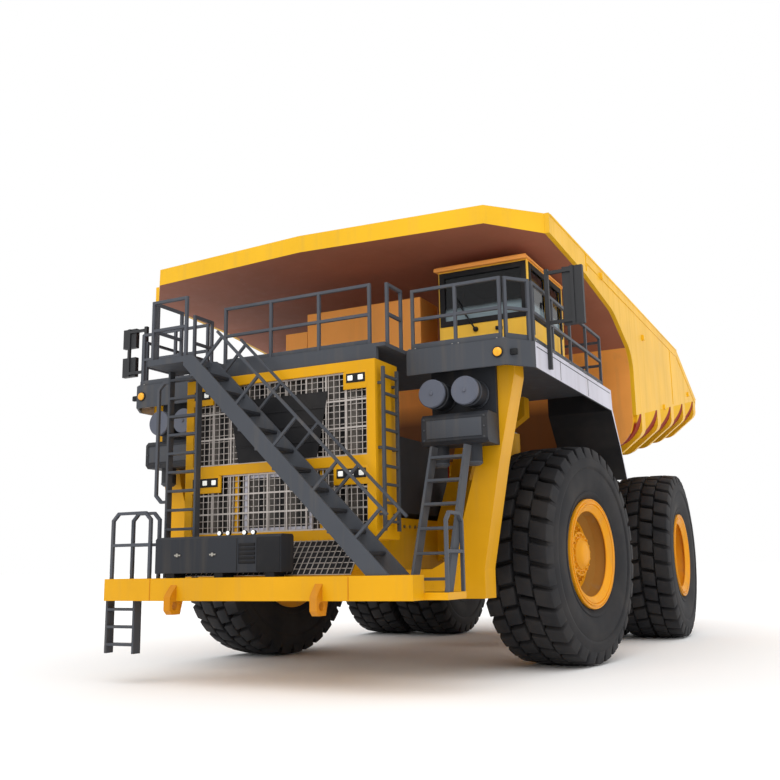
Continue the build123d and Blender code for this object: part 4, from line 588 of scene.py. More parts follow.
def make_finishes():
    """All materials of the truck."""
    finish = settings().finish
    enamel("body_enamel", list(finish.body), 0.34)
    enamel("chassis_enamel", list(finish.chassis), 0.36)
    enamel("cab_enamel", list(finish.cab), 0.36)
    enamel("cabinet_enamel", list(finish.cabinet), 0.42)
    enamel("canopy_underside", list(finish.shade), 0.55)
    enamel("deck_paint", list(finish.deck), 0.5, dusty=0.18)
    enamel("rail_paint", list(finish.rail), 0.45, dusty=0.15)
    enamel("cleaner_paint", linear("#5C606C"), 0.42, dusty=0.15)
    enamel("fascia_paint", list(finish.fascia), 0.4, dusty=0.2)
    enamel("rim_enamel", list(finish.rim), 0.35, dusty=0.35)
    # Darker orange: painted shade on the tow hooks, and the colour of the beads at the bumper's joints.
    enamel("tow_enamel", linear("#C67F0A"), 0.45, dusty=0.3)
    # Darker brown enamel for the inner barrels of the front rims: painted shade inside the rim, with dust
    # streaks over it.
    enamel("dusty_barrel", linear("#9C6C28"), 0.6, dusty=0.5)
    enamel("black_paint", linear("#1B1C1F"), 0.45, dusty=0.12)
    # Near-black paint: the box's own colour, and painted shade on the air cleaners.
    enamel("box_paint", linear("#2B2D32"), 0.45, dusty=0.12)
    # The front wall takes the cabinet orange as painted shade in place of the body yellow, with darker
    # painted shade under the decks.
    under_deck_shaded_enamel("sooted_wall", list(finish.cabinet), linear("#4A2A1C"))
    trough_paint_with_gap_shade("trough_enamel", list(finish.body), list(finish.rib_gap_shade))
    tread_plate("deck_tread_plate", list(finish.deck))
    rubber("tyre_rubber", list(finish.rubber), 22, 0.14)
    rubber("flap_rubber", linear("#17171A"), 40, 0.12)
    bare_metal("galvanised_wire", linear("#C2BAB4"), 0.5, 40, (1, 1, 1))
    bare_metal("worn_bed_steel", linear("#8C8478"), 0.5, 60, (1, 12, 1))
    bare_metal("chromed_rod", linear("#D8D8DC"), 0.14, 30, (1, 1, 6))
    bare_metal("zinc_bolt", linear("#A8A49C"), 0.4, 15, (1, 1, 1))
    bare_metal("mirror_silver", linear("#E4E6EA"), 0.04, 200, (1, 1, 1))
    cast_iron("cast_iron_skin", linear("#3A3A3D"))
    core_fins("radiator_fins")
    tinted_glass("cab_safety_glass", linear("#0E1114"), 0.82, linear("#93A6AD"))
    lens("headlamp_lens", linear("#F2F2EC"), 0.35)
    lens("amber_lens", linear("#F0A818"), 0.2)
    plastic("moulded_plastic", linear("#1E1F22"))
    woven("seat_cloth", linear("#26282C"))


# Modelling helpers.
def verts_in(geometry):
    """Vertices among what a bmesh operator gives back."""
    return [item for item in geometry if isinstance(item, bmesh.types.BMVert)]


def everything(bm):
    """All vertices, edges and faces of a mesh."""
    return bm.verts[:] + bm.edges[:] + bm.faces[:]


def edges_of(verts):
    """Edges that touch some vertices, each once and in a fixed order."""
    return list(dict.fromkeys(edge for vert in verts for edge in vert.link_edges))


def round_off(bm, verts, amount, segments=2):
    """Bevels the sharp edges of a shape that was just made."""
    sharp = [edge for edge in edges_of(verts) if edge.calc_face_angle() > SHARP]
    bmesh.ops.bevel(
        bm,
        geom=sharp,
        offset=amount,
        offset_type="OFFSET",
        affect="EDGES",
        segments=segments,
        profile=0.5,
        material=-1,
        clamp_overlap=True,
    )


def block(bm, low, high, rounding=0.0, turn=None):
    """Box between two corners with rounded edges."""
    low, high = Vector(low), Vector(high)
    size = high - low
    middle = Matrix.Translation((low + high) / 2)
    shape = middle @ (turn or Matrix.Identity(4)) @ Matrix.Diagonal((*size, 1))
    made = bmesh.ops.create_cube(bm, size=1.0, matrix=shape)
    if rounding:
        round_off(bm, made["verts"], rounding)


def bar(bm, first, last, radius, sides=12):
    """Round or many-sided bar between two points."""
    first, last = Vector(first), Vector(last)
    way = last - first
    turn = way.to_track_quat("Z", "Y").to_matrix().to_4x4()
    bmesh.ops.create_cone(
        bm,
        cap_ends=True,
        cap_tris=False,
        segments=sides,
        radius1=radius,
        radius2=radius,
        depth=way.length,
        matrix=Matrix.Translation((first + last) / 2) @ turn,
    )


def square_bar(bm, first, last, wide, deep):
    """Flat bar between two points, its width square to its run and to Y, its depth along Y."""
    first, last = Vector(first), Vector(last)
    way = last - first
    across = way.cross(FORWARD).normalized()
    turn = Matrix((across, -FORWARD, way.normalized())).transposed().to_4x4()
    shape = Matrix.Translation((first + last) / 2) @ turn @ Matrix.Diagonal((wide, deep, way.length, 1))
    made = bmesh.ops.create_cube(bm, size=1.0, matrix=shape)
    round_off(bm, made["verts"], min(wide, deep) * 0.2, 1)


def lathe(bm, points, centre, axle, steps=48, closed=False):
    """Turned shape from (distance along the axle, radius) points."""
    centre, axle = Vector(centre), Vector(axle).normalized()
    out = axle.orthogonal().normalized()
    verts = [bm.verts.new(centre + axle * along + out * radius) for along, radius in points]
    pairs = list(zip(verts, verts[1:])) + ([(verts[-1], verts[0])] if closed else [])
    edges = [bm.edges.new(pair) for pair in pairs]
    bmesh.ops.spin(
        bm, geom=verts + edges, cent=centre, axis=axle, angle=math.tau, steps=steps, use_merge=True
    )


def bolt_ring(bm, centre, axle, radius, count, size, height):
    """Ring of hexagon heads with washers, standing on a face across the axle."""
    centre, axle = Vector(centre), Vector(axle).normalized()
    out = axle.orthogonal().normalized() * radius
    washer = axle * height * 0.3
    for i in range(count):
        spot = centre + Quaternion(axle, math.tau * i / count) @ out
        bar(bm, spot, spot + washer, size * 1.35, 10)
        bar(bm, spot + washer, spot + axle * height, size, 6)


def bolt_row(bm, first, last, count, way, size, height):
    """Row of hexagon heads between two points."""
    first, last, way = Vector(first), Vector(last), Vector(way).normalized()
    for i in range(count):
        spot = first.lerp(last, i / (count - 1))
        bar(bm, spot, spot + way * height, size, 6)


def join(bm, other):
    """Moves one mesh into another."""
    mesh = bpy.data.meshes.new("joined")
    other.to_mesh(mesh)
    other.free()
    bm.from_mesh(mesh)
    bpy.data.meshes.remove(mesh)


def weld(*meshes):
    """Joins points that lie on each other, as at the poles of turned shapes."""
    for bm in meshes:
        bmesh.ops.remove_doubles(bm, verts=bm.verts[:], dist=WELD)


def mirrored(*meshes):
    """Adds the same pieces on the other side of the truck."""
    for bm in meshes:
        copy = bmesh.ops.duplicate(bm, geom=everything(bm))["geom"]
        faces = [item for item in copy if isinstance(item, bmesh.types.BMFace)]
        bmesh.ops.scale(bm, vec=OTHER_SIDE, verts=verts_in(copy))
        bmesh.ops.reverse_faces(bm, faces=faces)


def piece(name, bm, finish, body="chassis", nodes=(), smooth=35, recalc=True):
    """Turns a mesh into a piece that rides on a CAD body, smooth up to an angle in degrees."""
    if recalc:
        bmesh.ops.recalc_face_normals(bm, faces=bm.faces[:])
    mesh = bpy.data.meshes.new(name)
    bm.to_mesh(mesh)
    bm.free()
    mesh.materials.append(FINISHES[finish])
    mesh.polygons.foreach_set("use_smooth", [True] * len(mesh.polygons))
    mesh.set_sharp_from_angle(angle=math.radians(smooth))
    made = bpy.data.objects.new(name, mesh)
    bpy.context.scene.collection.objects.link(made)
    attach(made, body)
    if nodes:
        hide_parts(*nodes)
    return made


# Wheels. A tyre or a wheel is made about X, with its outer face at +X, and then carried to its axle.
Wheel = namedtuple("Wheel", "name side offsets body tyre rim")
TWIN = 0.735
WHEELS = (
    Wheel("front_left", 1, (0.0,), "wheel_front_left", "front_tyre_left", "front_rim_left"),
    Wheel("front_right", -1, (0.0,), "wheel_front_right", "front_tyre_right", "front_rim_right"),
    Wheel("rear_left", 1, (-TWIN, TWIN), "wheels_rear_left", "rear_tyres_left", "rear_rims_left"),
    Wheel("rear_right", -1, (-TWIN, TWIN), "wheels_rear_right", "rear_tyres_right", "rear_rims_right"),
)
FRONT_WHEELS = WHEELS[:2]


def axle_frame(wheel):
    """Matrix that carries a wheel made about X to its place."""
    joint = JOINTS["spin_" + wheel.name]
    axle = Vector(joint["axis"]).normalized() * wheel.side
    turn = Matrix.Rotation(math.atan2(axle.y, axle.x), 4, "Z")
    return Matrix.Translation(joint["pos_m"]) @ turn


# Finishes on the CAD pieces.
NODE_FINISH = {
    "chassis_enamel": (
        "frame_rail_left frame_rail_right frame_cross_members deck_supports front_bumper radiator_surround "
        "fuel_tank hydraulic_tank front_struts rear_axle rear_struts "
        "steer_knuckle_left steer_knuckle_right hoist_barrel_left hoist_barrel_right"
    ),
    "body_enamel": "body_front body_canopy body_side_left body_side_right body_floor",
    "cab_enamel": "cab_end_walls cab_side_walls cab_door",
    "cabinet_enamel": "control_cabinets cab_roof",
    "radiator_fins": "radiator_core",
    "galvanised_wire": "grille_screens",
    "cast_iron_skin": "engine tie_rod",
    "deck_paint": "main_stair access_ladders side_decks mid_deck",
    # The air cleaners take the near-black paint as painted shade behind the deck uprights.
    "box_paint": "equipment_box air_cleaners",
    "rail_paint": "deck_railings handrails",
    "flap_rubber": "mudguards",
    "chromed_rod": "hoist_stage_left hoist_stage_right hoist_rod_left hoist_rod_right",
    "zinc_bolt": "body_pivot_pins",
    "rim_enamel": "front_rim_left front_rim_right rear_rims_left rear_rims_right",
    "cab_safety_glass": "cab_glass cab_door_glass",
    "moulded_plastic": "cab_console cab_floor lamps mirrors",
    "seat_cloth": "cab_seat",
    "tyre_rubber": "front_tyre_left front_tyre_right rear_tyres_left rear_tyres_right",
}
DECK_EDGE = 3.9
STAIR_MIDDLE = -7.87
STAIR_HALF = 0.29
STAIR_LANDING = 5
BUMPER_FACE = -8.255
BUMPER_FOOT = 1.285
BARREL_LEAST = 0.5


def looks_up(middle, normal):
    """Whether a face is the top of a deck or a tread."""
    return normal.z > 0.9


def looks_down(middle, normal):
    """Whether a face is an underside."""
    return normal.z < -0.5


def deck_fascia(middle, normal):
    """Whether a face is the outer edge of a deck or a mudguard."""
    return abs(normal.x) > 0.9 and abs(middle.x) > DECK_EDGE


def stair_inside(middle, normal):
    """Whether a face is a tread or lies between the stair's stringers."""
    return abs(normal.y) < 0.5 and abs(middle.y - STAIR_MIDDLE) < STAIR_HALF and middle.z < STAIR_LANDING


def on_tow_hook(middle, normal):
    """Whether a face stands out of the bumper's bar, as the tow hooks do."""
    return middle.y < BUMPER_FACE or middle.z < BUMPER_FOOT


def on_a_bolster(y):
    """Whether a station lies on one of the ribs under the floor."""
    return (y - BOLSTER_FIRST + BOLSTER_EDGE) % BOLSTER_PITCH <= BOLSTER_LENGTH + 2 * BOLSTER_EDGE


def faces_load(middle, normal):
    """Whether a face of the trough is on the load's side."""
    return normal.z > 0.3 or normal.x * middle.x < -0.3


def trough_outside(middle, normal):
    """Whether a face is the outside of the trough between two ribs."""
    low = middle.z < floor_line(middle.y) + TROUGH_HIGH
    return low and not on_a_bolster(middle.y) and not faces_load(middle, normal)


def load_floor(middle, normal):
    """Whether a face is one that the load lies on."""
    return middle.z > floor_line(middle.y) and faces_load(middle, normal)


def rim_barrel(wheel):
    """Test for the faces of a rim that look in towards its axle."""
    back = axle_frame(wheel).inverted()

    def chosen(middle, normal):
        out = (back @ middle) * Vector((0, 1, 1))
        return out.length > BARREL_LEAST and (back.to_3x3() @ normal).dot(out.normalized()) < -0.5

    return chosen


def second_finish(node, finish, chosen):
    """Gives some faces of a CAD node a second finish; chosen takes a face's middle and normal."""
    mesh = NODES[node].data
    mesh.materials.append(FINISHES[finish])
    index = len(mesh.materials) - 1
    for face in mesh.polygons:
        if chosen(face.center, face.normal):
            face.material_index = index


class TRUCK_OT_finishes(bpy.types.Operator):
    """Give every CAD piece its finish"""

    bl_idname = "dump_truck.finishes"
    bl_label = "Finishes"

    def execute(self, context):
        make_finishes()
        for finish, names in NODE_FINISH.items():
            for name in names.split():
                mesh = NODES[name].data
                mesh.materials.clear()
                mesh.materials.append(FINISHES[finish])
        second_finish("side_decks", "fascia_paint", deck_fascia)
        second_finish("side_decks", "deck_tread_plate", looks_up)
        second_finish("mid_deck", "deck_tread_plate", looks_up)
        second_finish("main_stair", "deck_tread_plate", looks_up)
        second_finish("main_stair", "box_paint", stair_inside)
        # Faces of the tow hooks take the darker orange as painted shade.
        second_finish("front_bumper", "tow_enamel", on_tow_hook)
        second_finish("mudguards", "fascia_paint", deck_fascia)
        # Downward faces of the canopy and the front wall take the underside brown as painted shade.
        second_finish("body_canopy", "canopy_underside", looks_down)
        second_finish("body_front", "canopy_underside", looks_down)
        # The outside of the trough between the ribs takes the enamel with red-brown painted shade in its
        # gaps.
        second_finish("body_floor", "trough_enamel", trough_outside)
        second_finish("body_floor", "worn_bed_steel", load_floor)
        second_finish("body_front", "worn_bed_steel", lambda middle, normal: normal.y > 0.5)
        # Forward faces of the body's front wall take the orange with painted shade.
        second_finish("body_front", "sooted_wall", lambda middle, normal: normal.y < -0.5)
        # Inward faces of the front rims take the darker brown as painted shade, with dust.
        for wheel in FRONT_WHEELS:
            second_finish(wheel.rim, "dusty_barrel", rim_barrel(wheel))
        return {"FINISHED"}


# Tyres. A row of lugs has its inner and outer edge, then its middle, length and skew as shares of the pitch,
# then how far its outer edge drops and how far its buttress reaches down the shoulder.
LUG_ROWS = (
    (0.030, 0.300, 0.42, 0.76, 0.16, 0.0, 0.0),
    (0.332, 0.622, 0.0, 0.74, 0.20, 0.035, 0.09),
)
LUG_SINK = 0.03
LUG_TAPER = 0.16
LUG_FLARE = 0.06
TYRE_STEPS = 110
# One side wall from the bead to the tread, as (distance from the tyre's middle, radius).
TYRE_WALL = [
    (0.545, 0.905),
    (0.572, 0.972),
    (0.590, 1.015),
    (0.618, 1.05),
    (0.622, 1.085),
    (0.608, 1.10),
    (0.634, 1.19),
    (0.654, 1.29),
    (0.662, 1.38),
    (0.656, 1.47),
    (0.650, 1.505),
    (0.671, 1.53),
    (0.674, 1.56),
    (0.666, 1.64),
    (0.648, 1.71),
    (0.622, 1.775),
    (0.585, 1.800),
]


def tread_block(bm, x0, x1, middle, arc, skew, drop, buttress):
    """One lug of the tread, bent round the axle along X; angles in radians from straight down.

    The buttress carries the foot of its outer end down over the shoulder.
    """
    tyre = settings().tyre
    foot = tyre.floor - LUG_SINK
    lug = bmesh.new()
    bmesh.ops.create_cube(lug, size=1.0)
    long_edges = [edge for edge in lug.edges if abs(edge.verts[0].co.y - edge.verts[1].co.y) > 0.5]
    bmesh.ops.subdivide_edges(lug, edges=long_edges, cuts=2)
    for vert in lug.verts:
        across, along, height = vert.co + Vector((0.5, 0, 0.5))
        down = 1 - height
        angle = middle + skew * (across - 0.5) + along * arc * (1 + LUG_TAPER * down)
        radius = foot + (tyre.radius - foot - drop * across**2) * height - buttress * across * down
        x = x0 + (x1 - x0) * (0.5 + (across - 0.5) * (1 + LUG_FLARE * down)) + buttress * across * down / 3
        vert.co = (x, radius * math.sin(angle), -radius * math.cos(angle))
    bmesh.ops.recalc_face_normals(lug, faces=lug.faces[:])
    round_off(lug, lug.verts[:], tyre.rounding)
    join(bm, lug)


def tyre_mesh():
    """One tyre about the X axis: lugs in two staggered halves, dished walls and a rim guard."""
    tyre = settings().tyre
    pitch = math.tau / tyre.lugs
    bm = bmesh.new()
    for inner, outer, middle, arc, skew, drop, buttress in LUG_ROWS:
        tread_block(bm, inner, outer, middle * pitch, arc * pitch, skew * pitch, drop, buttress)
    half = verts_in(bmesh.ops.duplicate(bm, geom=everything(bm))["geom"])
    bmesh.ops.scale(bm, vec=OTHER_SIDE, verts=half)
    bmesh.ops.rotate(bm, cent=ORIGIN, matrix=Matrix.Rotation(pitch / 2, 3, "X"), verts=half)
    bmesh.ops.spin(
        bm,
        geom=everything(bm),
        cent=ORIGIN,
        axis=AXLE,
        angle=pitch * (tyre.lugs - 1),
        steps=tyre.lugs - 1,
        use_duplicate=True,
    )
    profile = TYRE_WALL + [(-x, radius) for x, radius in reversed(TYRE_WALL)]
    lathe(bm, profile, ORIGIN, AXLE, TYRE_STEPS, closed=True)
    bmesh.ops.recalc_face_normals(bm, faces=bm.faces[:])
    return bm


class TRUCK_OT_tyres(bpy.types.Operator):
    """Make the lugged tyres"""

    bl_idname = "dump_truck.tyres"
    bl_label = "Tyres"

    def execute(self, context):
        plain = tyre_mesh()
        pattern = bpy.data.meshes.new("tyre_pattern")
        plain.to_mesh(pattern)
        plain.free()
        for wheel in WHEELS:
            bm = bmesh.new()
            for offset in wheel.offsets:
                have = len(bm.verts)
                bm.from_mesh(pattern)
                bm.verts.ensure_lookup_table()
                bmesh.ops.translate(bm, vec=(offset, 0, 0), verts=bm.verts[have:])
            bmesh.ops.transform(bm, matrix=axle_frame(wheel), verts=bm.verts[:])
            name = "tyre_" + wheel.name
            piece(name, bm, "tyre_rubber", wheel.body, [wheel.tyre], 40, recalc=False)
        bpy.data.meshes.remove(pattern)
        return {"FINISHED"}


# Wheel rings, as (distance out from the rim's lip, radius), and the hub's cover, as (distance out from the
# hub's end, share of the hub's radius).
RIM_LIP = 0.615
LOCK_RING = ((-0.004, 0.872), (0.018, 0.878), (0.022, 0.90), (-0.004, 0.906))
FLANGE_RING = ((-0.006, 0.935), (0.012, 0.94), (0.012, 0.955), (-0.006, 0.958))
GUTTER_RING = (
    (0.0, 0.866),
    (0.010, 0.850),
    (-0.034, 0.800),
    (-0.058, 0.752),
    (-0.074, 0.744),
    (-0.088, 0.756),
    (-0.066, 0.800),
    (-0.024, 0.858),
)
HUB_COVER = ((-0.002, 0.74), (0.03, 0.72), (0.045, 0.64), (0.085, 0.56), (0.11, 0.36), (0.12, 0.0))
HUB_STEP = 0.045
NUT_CIRCLE = 0.08
COVER_CIRCLE = 0.86
# Where a wheel's disc stands, its hub's radius and reach, and how many wheel nuts and cover bolts it has.
FRONT_HUB = (0.23, 0.43, 0.15, 30, 18)
REAR_HUB = (0.25, 0.62, 0.20, 36, 24)


class TRUCK_OT_wheels(bpy.types.Operator):
    """Add lock rings, wheel nuts and hub covers to the rims"""

    bl_idname = "dump_truck.wheels"
    bl_label = "Wheels"

    def execute(self, context):
        for wheel in WHEELS:
            face, hub, proud, nut_count, bolt_count = FRONT_HUB if wheel in FRONT_WHEELS else REAR_HUB
            lip = wheel.offsets[-1] + RIM_LIP
            reach = face + proud
            step = hub - HUB_STEP
            rings, nuts = bmesh.new(), bmesh.new()
            for ring in (LOCK_RING, FLANGE_RING, GUTTER_RING):
                lathe(rings, [(lip + x, radius) for x, radius in ring], ORIGIN, AXLE, 96, closed=True)
            lathe(rings, [(reach + x, step * share) for x, share in HUB_COVER], ORIGIN, AXLE, 64)
            bolt_ring(nuts, AXLE * face, AXLE, hub + NUT_CIRCLE, nut_count, 0.024, 0.05)
            bolt_ring(nuts, AXLE * reach, AXLE, step * COVER_CIRCLE, bolt_count, 0.018, 0.035)
            weld(rings, nuts)
            for bm in (rings, nuts):
                bmesh.ops.transform(bm, matrix=axle_frame(wheel), verts=bm.verts[:])
            piece("wheel_rings_" + wheel.name, rings, "rim_enamel", wheel.body)
            piece("wheel_nuts_" + wheel.name, nuts, "rim_enamel", wheel.body)
        return {"FINISHED"}


# Radiator. The screens fill two windows in the frame; the shroud on the upper one narrows downwards.
FRAME_FRONT = -7.43
WINDOW_HALF = 1.64
LOWER_WINDOW = (2.31, 3.25)
UPPER_WINDOW = (3.41, 4.71)
SCREEN_Y = -7.375
SHROUD_Y = -7.398
SHROUD_THICK = 0.012
SHROUD_TOP = (0.94, 4.45)
SHROUD_FOOT = (0.74, 3.43)
SHROUD_RIBS = (3.68, 3.94, 4.20)
POST_X = 0.80
POST_DEPTH = (-7.355, -7.30)
COOLER_SIDES = (-0.62, 0.60)
COOLER_DEPTH = (-7.35, -7.30)
COOLER_ENDS = (2.36, 3.20)


class TRUCK_OT_screens(bpy.types.Operator):
    """Weave the radiator screens"""

    bl_idname = "dump_truck.screens"
    bl_label = "Radiator screens"

    def execute(self, context):
        screen = settings().screen
        wire = screen.wire
        front, back = SCREEN_Y - wire, SCREEN_Y + wire
        bm = bmesh.new()
        for low, high in (LOWER_WINDOW, UPPER_WINDOW):
            columns = round(2 * WINDOW_HALF / screen.pitch)
            rows = round((high - low) / screen.pitch)
            for i in range(1, columns):
                x = -WINDOW_HALF + 2 * WINDOW_HALF * i / columns
                bar(bm, (x, front, low), (x, front, high), wire, 6)
            for i in range(1, rows):
                z = low + (high - low) * i / rows
                bar(bm, (-WINDOW_HALF, back, z), (WINDOW_HALF, back, z), wire, 6)
        piece("screen_wires", bm, "galvanised_wire")
        return {"FINISHED"}


class TRUCK_OT_shroud(bpy.types.Operator):
    """Fit the shroud on the upper screen, and the posts and the cooler's frame behind the lower one"""

    bl_idname = "dump_truck.shroud"
    bl_label = "Radiator shroud"

    def execute(self, context):
        shroud, posts, pale = bmesh.new(), bmesh.new(), bmesh.new()
        (top, high), (foot, low) = SHROUD_TOP, SHROUD_FOOT
        corners = [(-top, high), (top, high), (foot, low), (-foot, low)]
        sheet = shroud.faces.new([shroud.verts.new((x, SHROUD_Y, z)) for x, z in corners])
        moved = verts_in(bmesh.ops.extrude_face_region(shroud, geom=[sheet])["geom"])
        bmesh.ops.translate(shroud, vec=(0, SHROUD_THICK, 0), verts=moved)
        for z in SHROUD_RIBS:
            half = foot + (top - foot) * (z - low) / (high - low)
            block(shroud, (-half, SHROUD_Y - 0.010, z - 0.012), (half, SHROUD_Y + 0.001, z + 0.012), 0.003)
        piece("shroud_panel", shroud, "flap_rubber")
        sill, head = LOWER_WINDOW
        front, back = POST_DEPTH
        for x in (-POST_X, POST_X):
            block(posts, (x - 0.035, front, sill), (x + 0.035, back, head), 0.008)
        piece("screen_posts", posts, "chassis_enamel")
        left, right = COOLER_SIDES
        front, back = COOLER_DEPTH
        for x in COOLER_SIDES:
            block(pale, (x - 0.028, front, sill + 0.03), (x + 0.028, back, head - 0.03), 0.006)
        for z in COOLER_ENDS:
            near = (left - 0.02, front + 0.002, z - 0.025)
            block(pale, near, (right + 0.02, back - 0.002, z + 0.025), 0.006)
        piece("cooler_frame", pale, "fascia_paint")
        return {"FINISHED"}


# Apron, which lies on the slope of the rails from the bumper up to the radiator frame.
APRON_FOOT = Vector((0, -7.84, 1.643))
APRON_TOP = Vector((0, -7.44, 2.138))
APRON_HALF = 1.58
APRON_LIFT = 0.008
APRON_THICK = 0.012


class TRUCK_OT_apron(bpy.types.Operator):
    """Lay the slanted rubber guard and its wires on the rails"""

    bl_idname = "dump_truck.apron"
    bl_label = "Apron screen"

    def execute(self, context):
        screen = settings().screen
        wire = screen.wire
        slope = APRON_TOP - APRON_FOOT
        lift = Vector((0, -slope.z, slope.y)).normalized()
        turn = Matrix.Rotation(math.atan2(slope.z, slope.y), 4, "X")
        middle = (APRON_FOOT + APRON_TOP) / 2 + lift * APRON_LIFT
        half = Vector((APRON_HALF, slope.length / 2, APRON_THICK / 2))
        guard, wires = bmesh.new(), bmesh.new()
        block(guard, middle - half, middle + half, 0.003, turn)
        piece("apron_guard", guard, "flap_rubber")
        outer = lift * (APRON_LIFT + APRON_THICK / 2 + 2 * wire)
        foot, top = APRON_FOOT + outer, APRON_TOP + outer
        side = Vector((APRON_HALF, 0, 0))
        columns = round(2 * APRON_HALF / screen.pitch)
        rows = round(slope.length / screen.pitch)
        for i in range(columns + 1):
            across = side * (2 * i / columns - 1)
            bar(wires, foot + across, top + across, wire, 6)
        for i in range(rows + 1):
            level = foot.lerp(top, i / rows) - lift * wire * 2
            bar(wires, level - side, level + side, wire, 6)
        piece("apron_wires", wires, "galvanised_wire")
        return {"FINISHED"}


# Lamps on the radiator frame, as a height and the places across, and on the corner of each deck.
LAMP_ROWS = ((3.14, (1.55, 1.37, 1.19)), (4.60, (1.55, 1.37)))
LAMP_SIDE = 0.075
LAMP_HIGH = 0.072
# How far a plate reaches past its lamps inwards and outwards, and from their middle down and up.
PLATE_IN = 0.055
PLATE_OUT = 0.03
PLATE_DOWN = 0.17
PLATE_UP = 0.105
LENS_WIDE = 0.043
LENS_HIGH = 0.04
MARKER = (3.49, -6.65, 4.915)
MARKER_CUP = ((0, 0.0), (0, 0.085), (0.02, 0.085), (0.026, 0.072), (0.026, 0))
MARKER_DOME = ((0.02, 0.072), (0.038, 0.066), (0.052, 0.045), (0.058, 0.0))
MARKER_SOCKET = ((3.66, -6.60, 4.86), (3.78, -6.53, 4.96))


class TRUCK_OT_lamps(bpy.types.Operator):
    """Make the lamps: plates, housings and lenses"""

    bl_idname = "dump_truck.lamps"
    bl_label = "Lamps"

    def execute(self, context):
        housings, lenses, markers, plates = bmesh.new(), bmesh.new(), bmesh.new(), bmesh.new()
        back = FRAME_FRONT + 0.03
        face = FRAME_FRONT - 0.006
        front = face - 0.010
        for z, places in LAMP_ROWS:
            low, high = min(places) - LAMP_SIDE, max(places) + LAMP_SIDE
            near = (low - PLATE_IN, face, z - PLATE_DOWN)
            block(plates, near, (high + PLATE_OUT, back, z + PLATE_UP), 0.004)
            block(housings, (low, front, z - LAMP_HIGH), (high, back, z + LAMP_HIGH), 0.006)
            for x in places:
                near = (x - LENS_WIDE, front - 0.014, z - LENS_HIGH)
                block(lenses, near, (x + LENS_WIDE, front + 0.006, z + LENS_HIGH), 0.012)
        lathe(housings, MARKER_CUP, MARKER, FORWARD, 40)
        lathe(markers, MARKER_DOME, MARKER, FORWARD, 40)
        block(housings, *MARKER_SOCKET, 0.02)
        weld(housings, lenses, markers, plates)
        mirrored(housings, lenses, markers, plates)
        piece("lamp_housings", housings, "black_paint", nodes=["lamps"])
        piece("lamp_plates", plates, "chassis_enamel")
        piece("lamp_lenses", lenses, "headlamp_lens")
        piece("marker_lenses", markers, "amber_lens")
        return {"FINISHED"}


# Equipment box on the bumper.
BOX_FACE = -8.20
BOX_LAMPS = (-0.54, -0.38, -0.08, 0.08)
BOX_LAMP_Y = -8.13
BOX_LAMP_Z = 2.286
BOX_LAMP_CUP = ((-0.05, 0), (-0.05, 0.032), (0.004, 0.04), (0.004, 0.034))
BOX_LAMP_LENS = ((-0.002, 0.035), (0.01, 0.03), (0.014, 0))
BOX_DOOR = ((0.21, 1.71), (0.61, 2.21))
BOX_SEAMS = (-0.16, 0.20)
SEAM_ENDS = (1.72, 2.20)
LATCHES = (-1.27, -0.60)
LATCH_BAR = (1.96, 1.985)
LATCH_HUB = (1.945, 2.0)
LOUVRES = 5
LOUVRE_ENDS = (-0.12, 0.16)
LOUVRE_HALF = 0.022
LOUVRE_FIRST = 1.845
LOUVRE_PITCH = 0.065
LOUVRE_TILT = math.radians(32)


class TRUCK_OT_equipment_box(bpy.types.Operator):
    """Fit louvres, latches and small lamps to the equipment box"""

    bl_idname = "dump_truck.equipment_box"
    bl_label = "Equipment box"

    def execute(self, context):
        steel, dark, lamps = bmesh.new(), bmesh.new(), bmesh.new()
        tilt = Matrix.Rotation(LOUVRE_TILT, 4, "X")
        left, right = LOUVRE_ENDS
        for i in range(LOUVRES):
            z = LOUVRE_FIRST + LOUVRE_PITCH * i
            near = (left, BOX_FACE - 0.004, z - LOUVRE_HALF)
            block(dark, near, (right, BOX_FACE + 0.012, z + LOUVRE_HALF), 0.003, tilt)
        (left, low), (right, high) = BOX_DOOR
        block(dark, (left, BOX_FACE - 0.014, low), (right, BOX_FACE + 0.01, high), 0.01)
        low, high = SEAM_ENDS
        for x in BOX_SEAMS:
            block(dark, (x - 0.006, BOX_FACE - 0.006, low), (x + 0.006, BOX_FACE + 0.004, high), 0.002)
        for x in LATCHES:
            low, high = LATCH_BAR
            block(steel, (x - 0.06, BOX_FACE - 0.016, low), (x + 0.06, BOX_FACE + 0.004, high), 0.006)
            low, high = LATCH_HUB
            block(steel, (x - 0.02, BOX_FACE - 0.024, low), (x + 0.02, BOX_FACE + 0.002, high), 0.006)
        for x in BOX_LAMPS:
            spot = (x, BOX_LAMP_Y, BOX_LAMP_Z)
            lathe(dark, BOX_LAMP_CUP, spot, FORWARD, 24)
            lathe(lamps, BOX_LAMP_LENS, spot, FORWARD, 24)
        weld(dark, lamps)
        piece("box_lamps", lamps, "headlamp_lens")
        piece("box_louvres", dark, "flap_rubber")
        piece("box_latches", steel, "zinc_bolt")
        return {"FINISHED"}


# Air cleaners, two drums side by side under each deck with a panel on the box below them.
CLEANERS = (2.425, 2.97)
CLEANER_Z = 4.36
CLEANER_END = -6.71
CLEANER_BANDS = (-6.62, -6.32)
CLEANER_LID = (
    (-0.01, 0.205),
    (0.012, 0.222),
    (0.050, 0.222),
    (0.066, 0.210),
    (0.062, 0.195),
    (0.064, 0.03),
    (0.085, 0.026),
    (0.085, 0),
)
CLEANER_BAND = ((-0.018, 0.213), (-0.018, 0.226), (0.018, 0.226), (0.018, 0.213))
DUST_CUP = ((0, 0.132), (0.02, 0.136), (0.035, 0.12), (0.06, 0.09), (0.065, 0))
DUST_CUP_Y = -6.455
DUST_CUP_Z = 3.30
CLEANER_PANEL = ((2.30, -6.722, 3.66), (3.21, -6.706, 3.94))
PANEL_BOLTS = (2.26, 3.25)
PANEL_BOLT_ENDS = (3.64, 3.96)


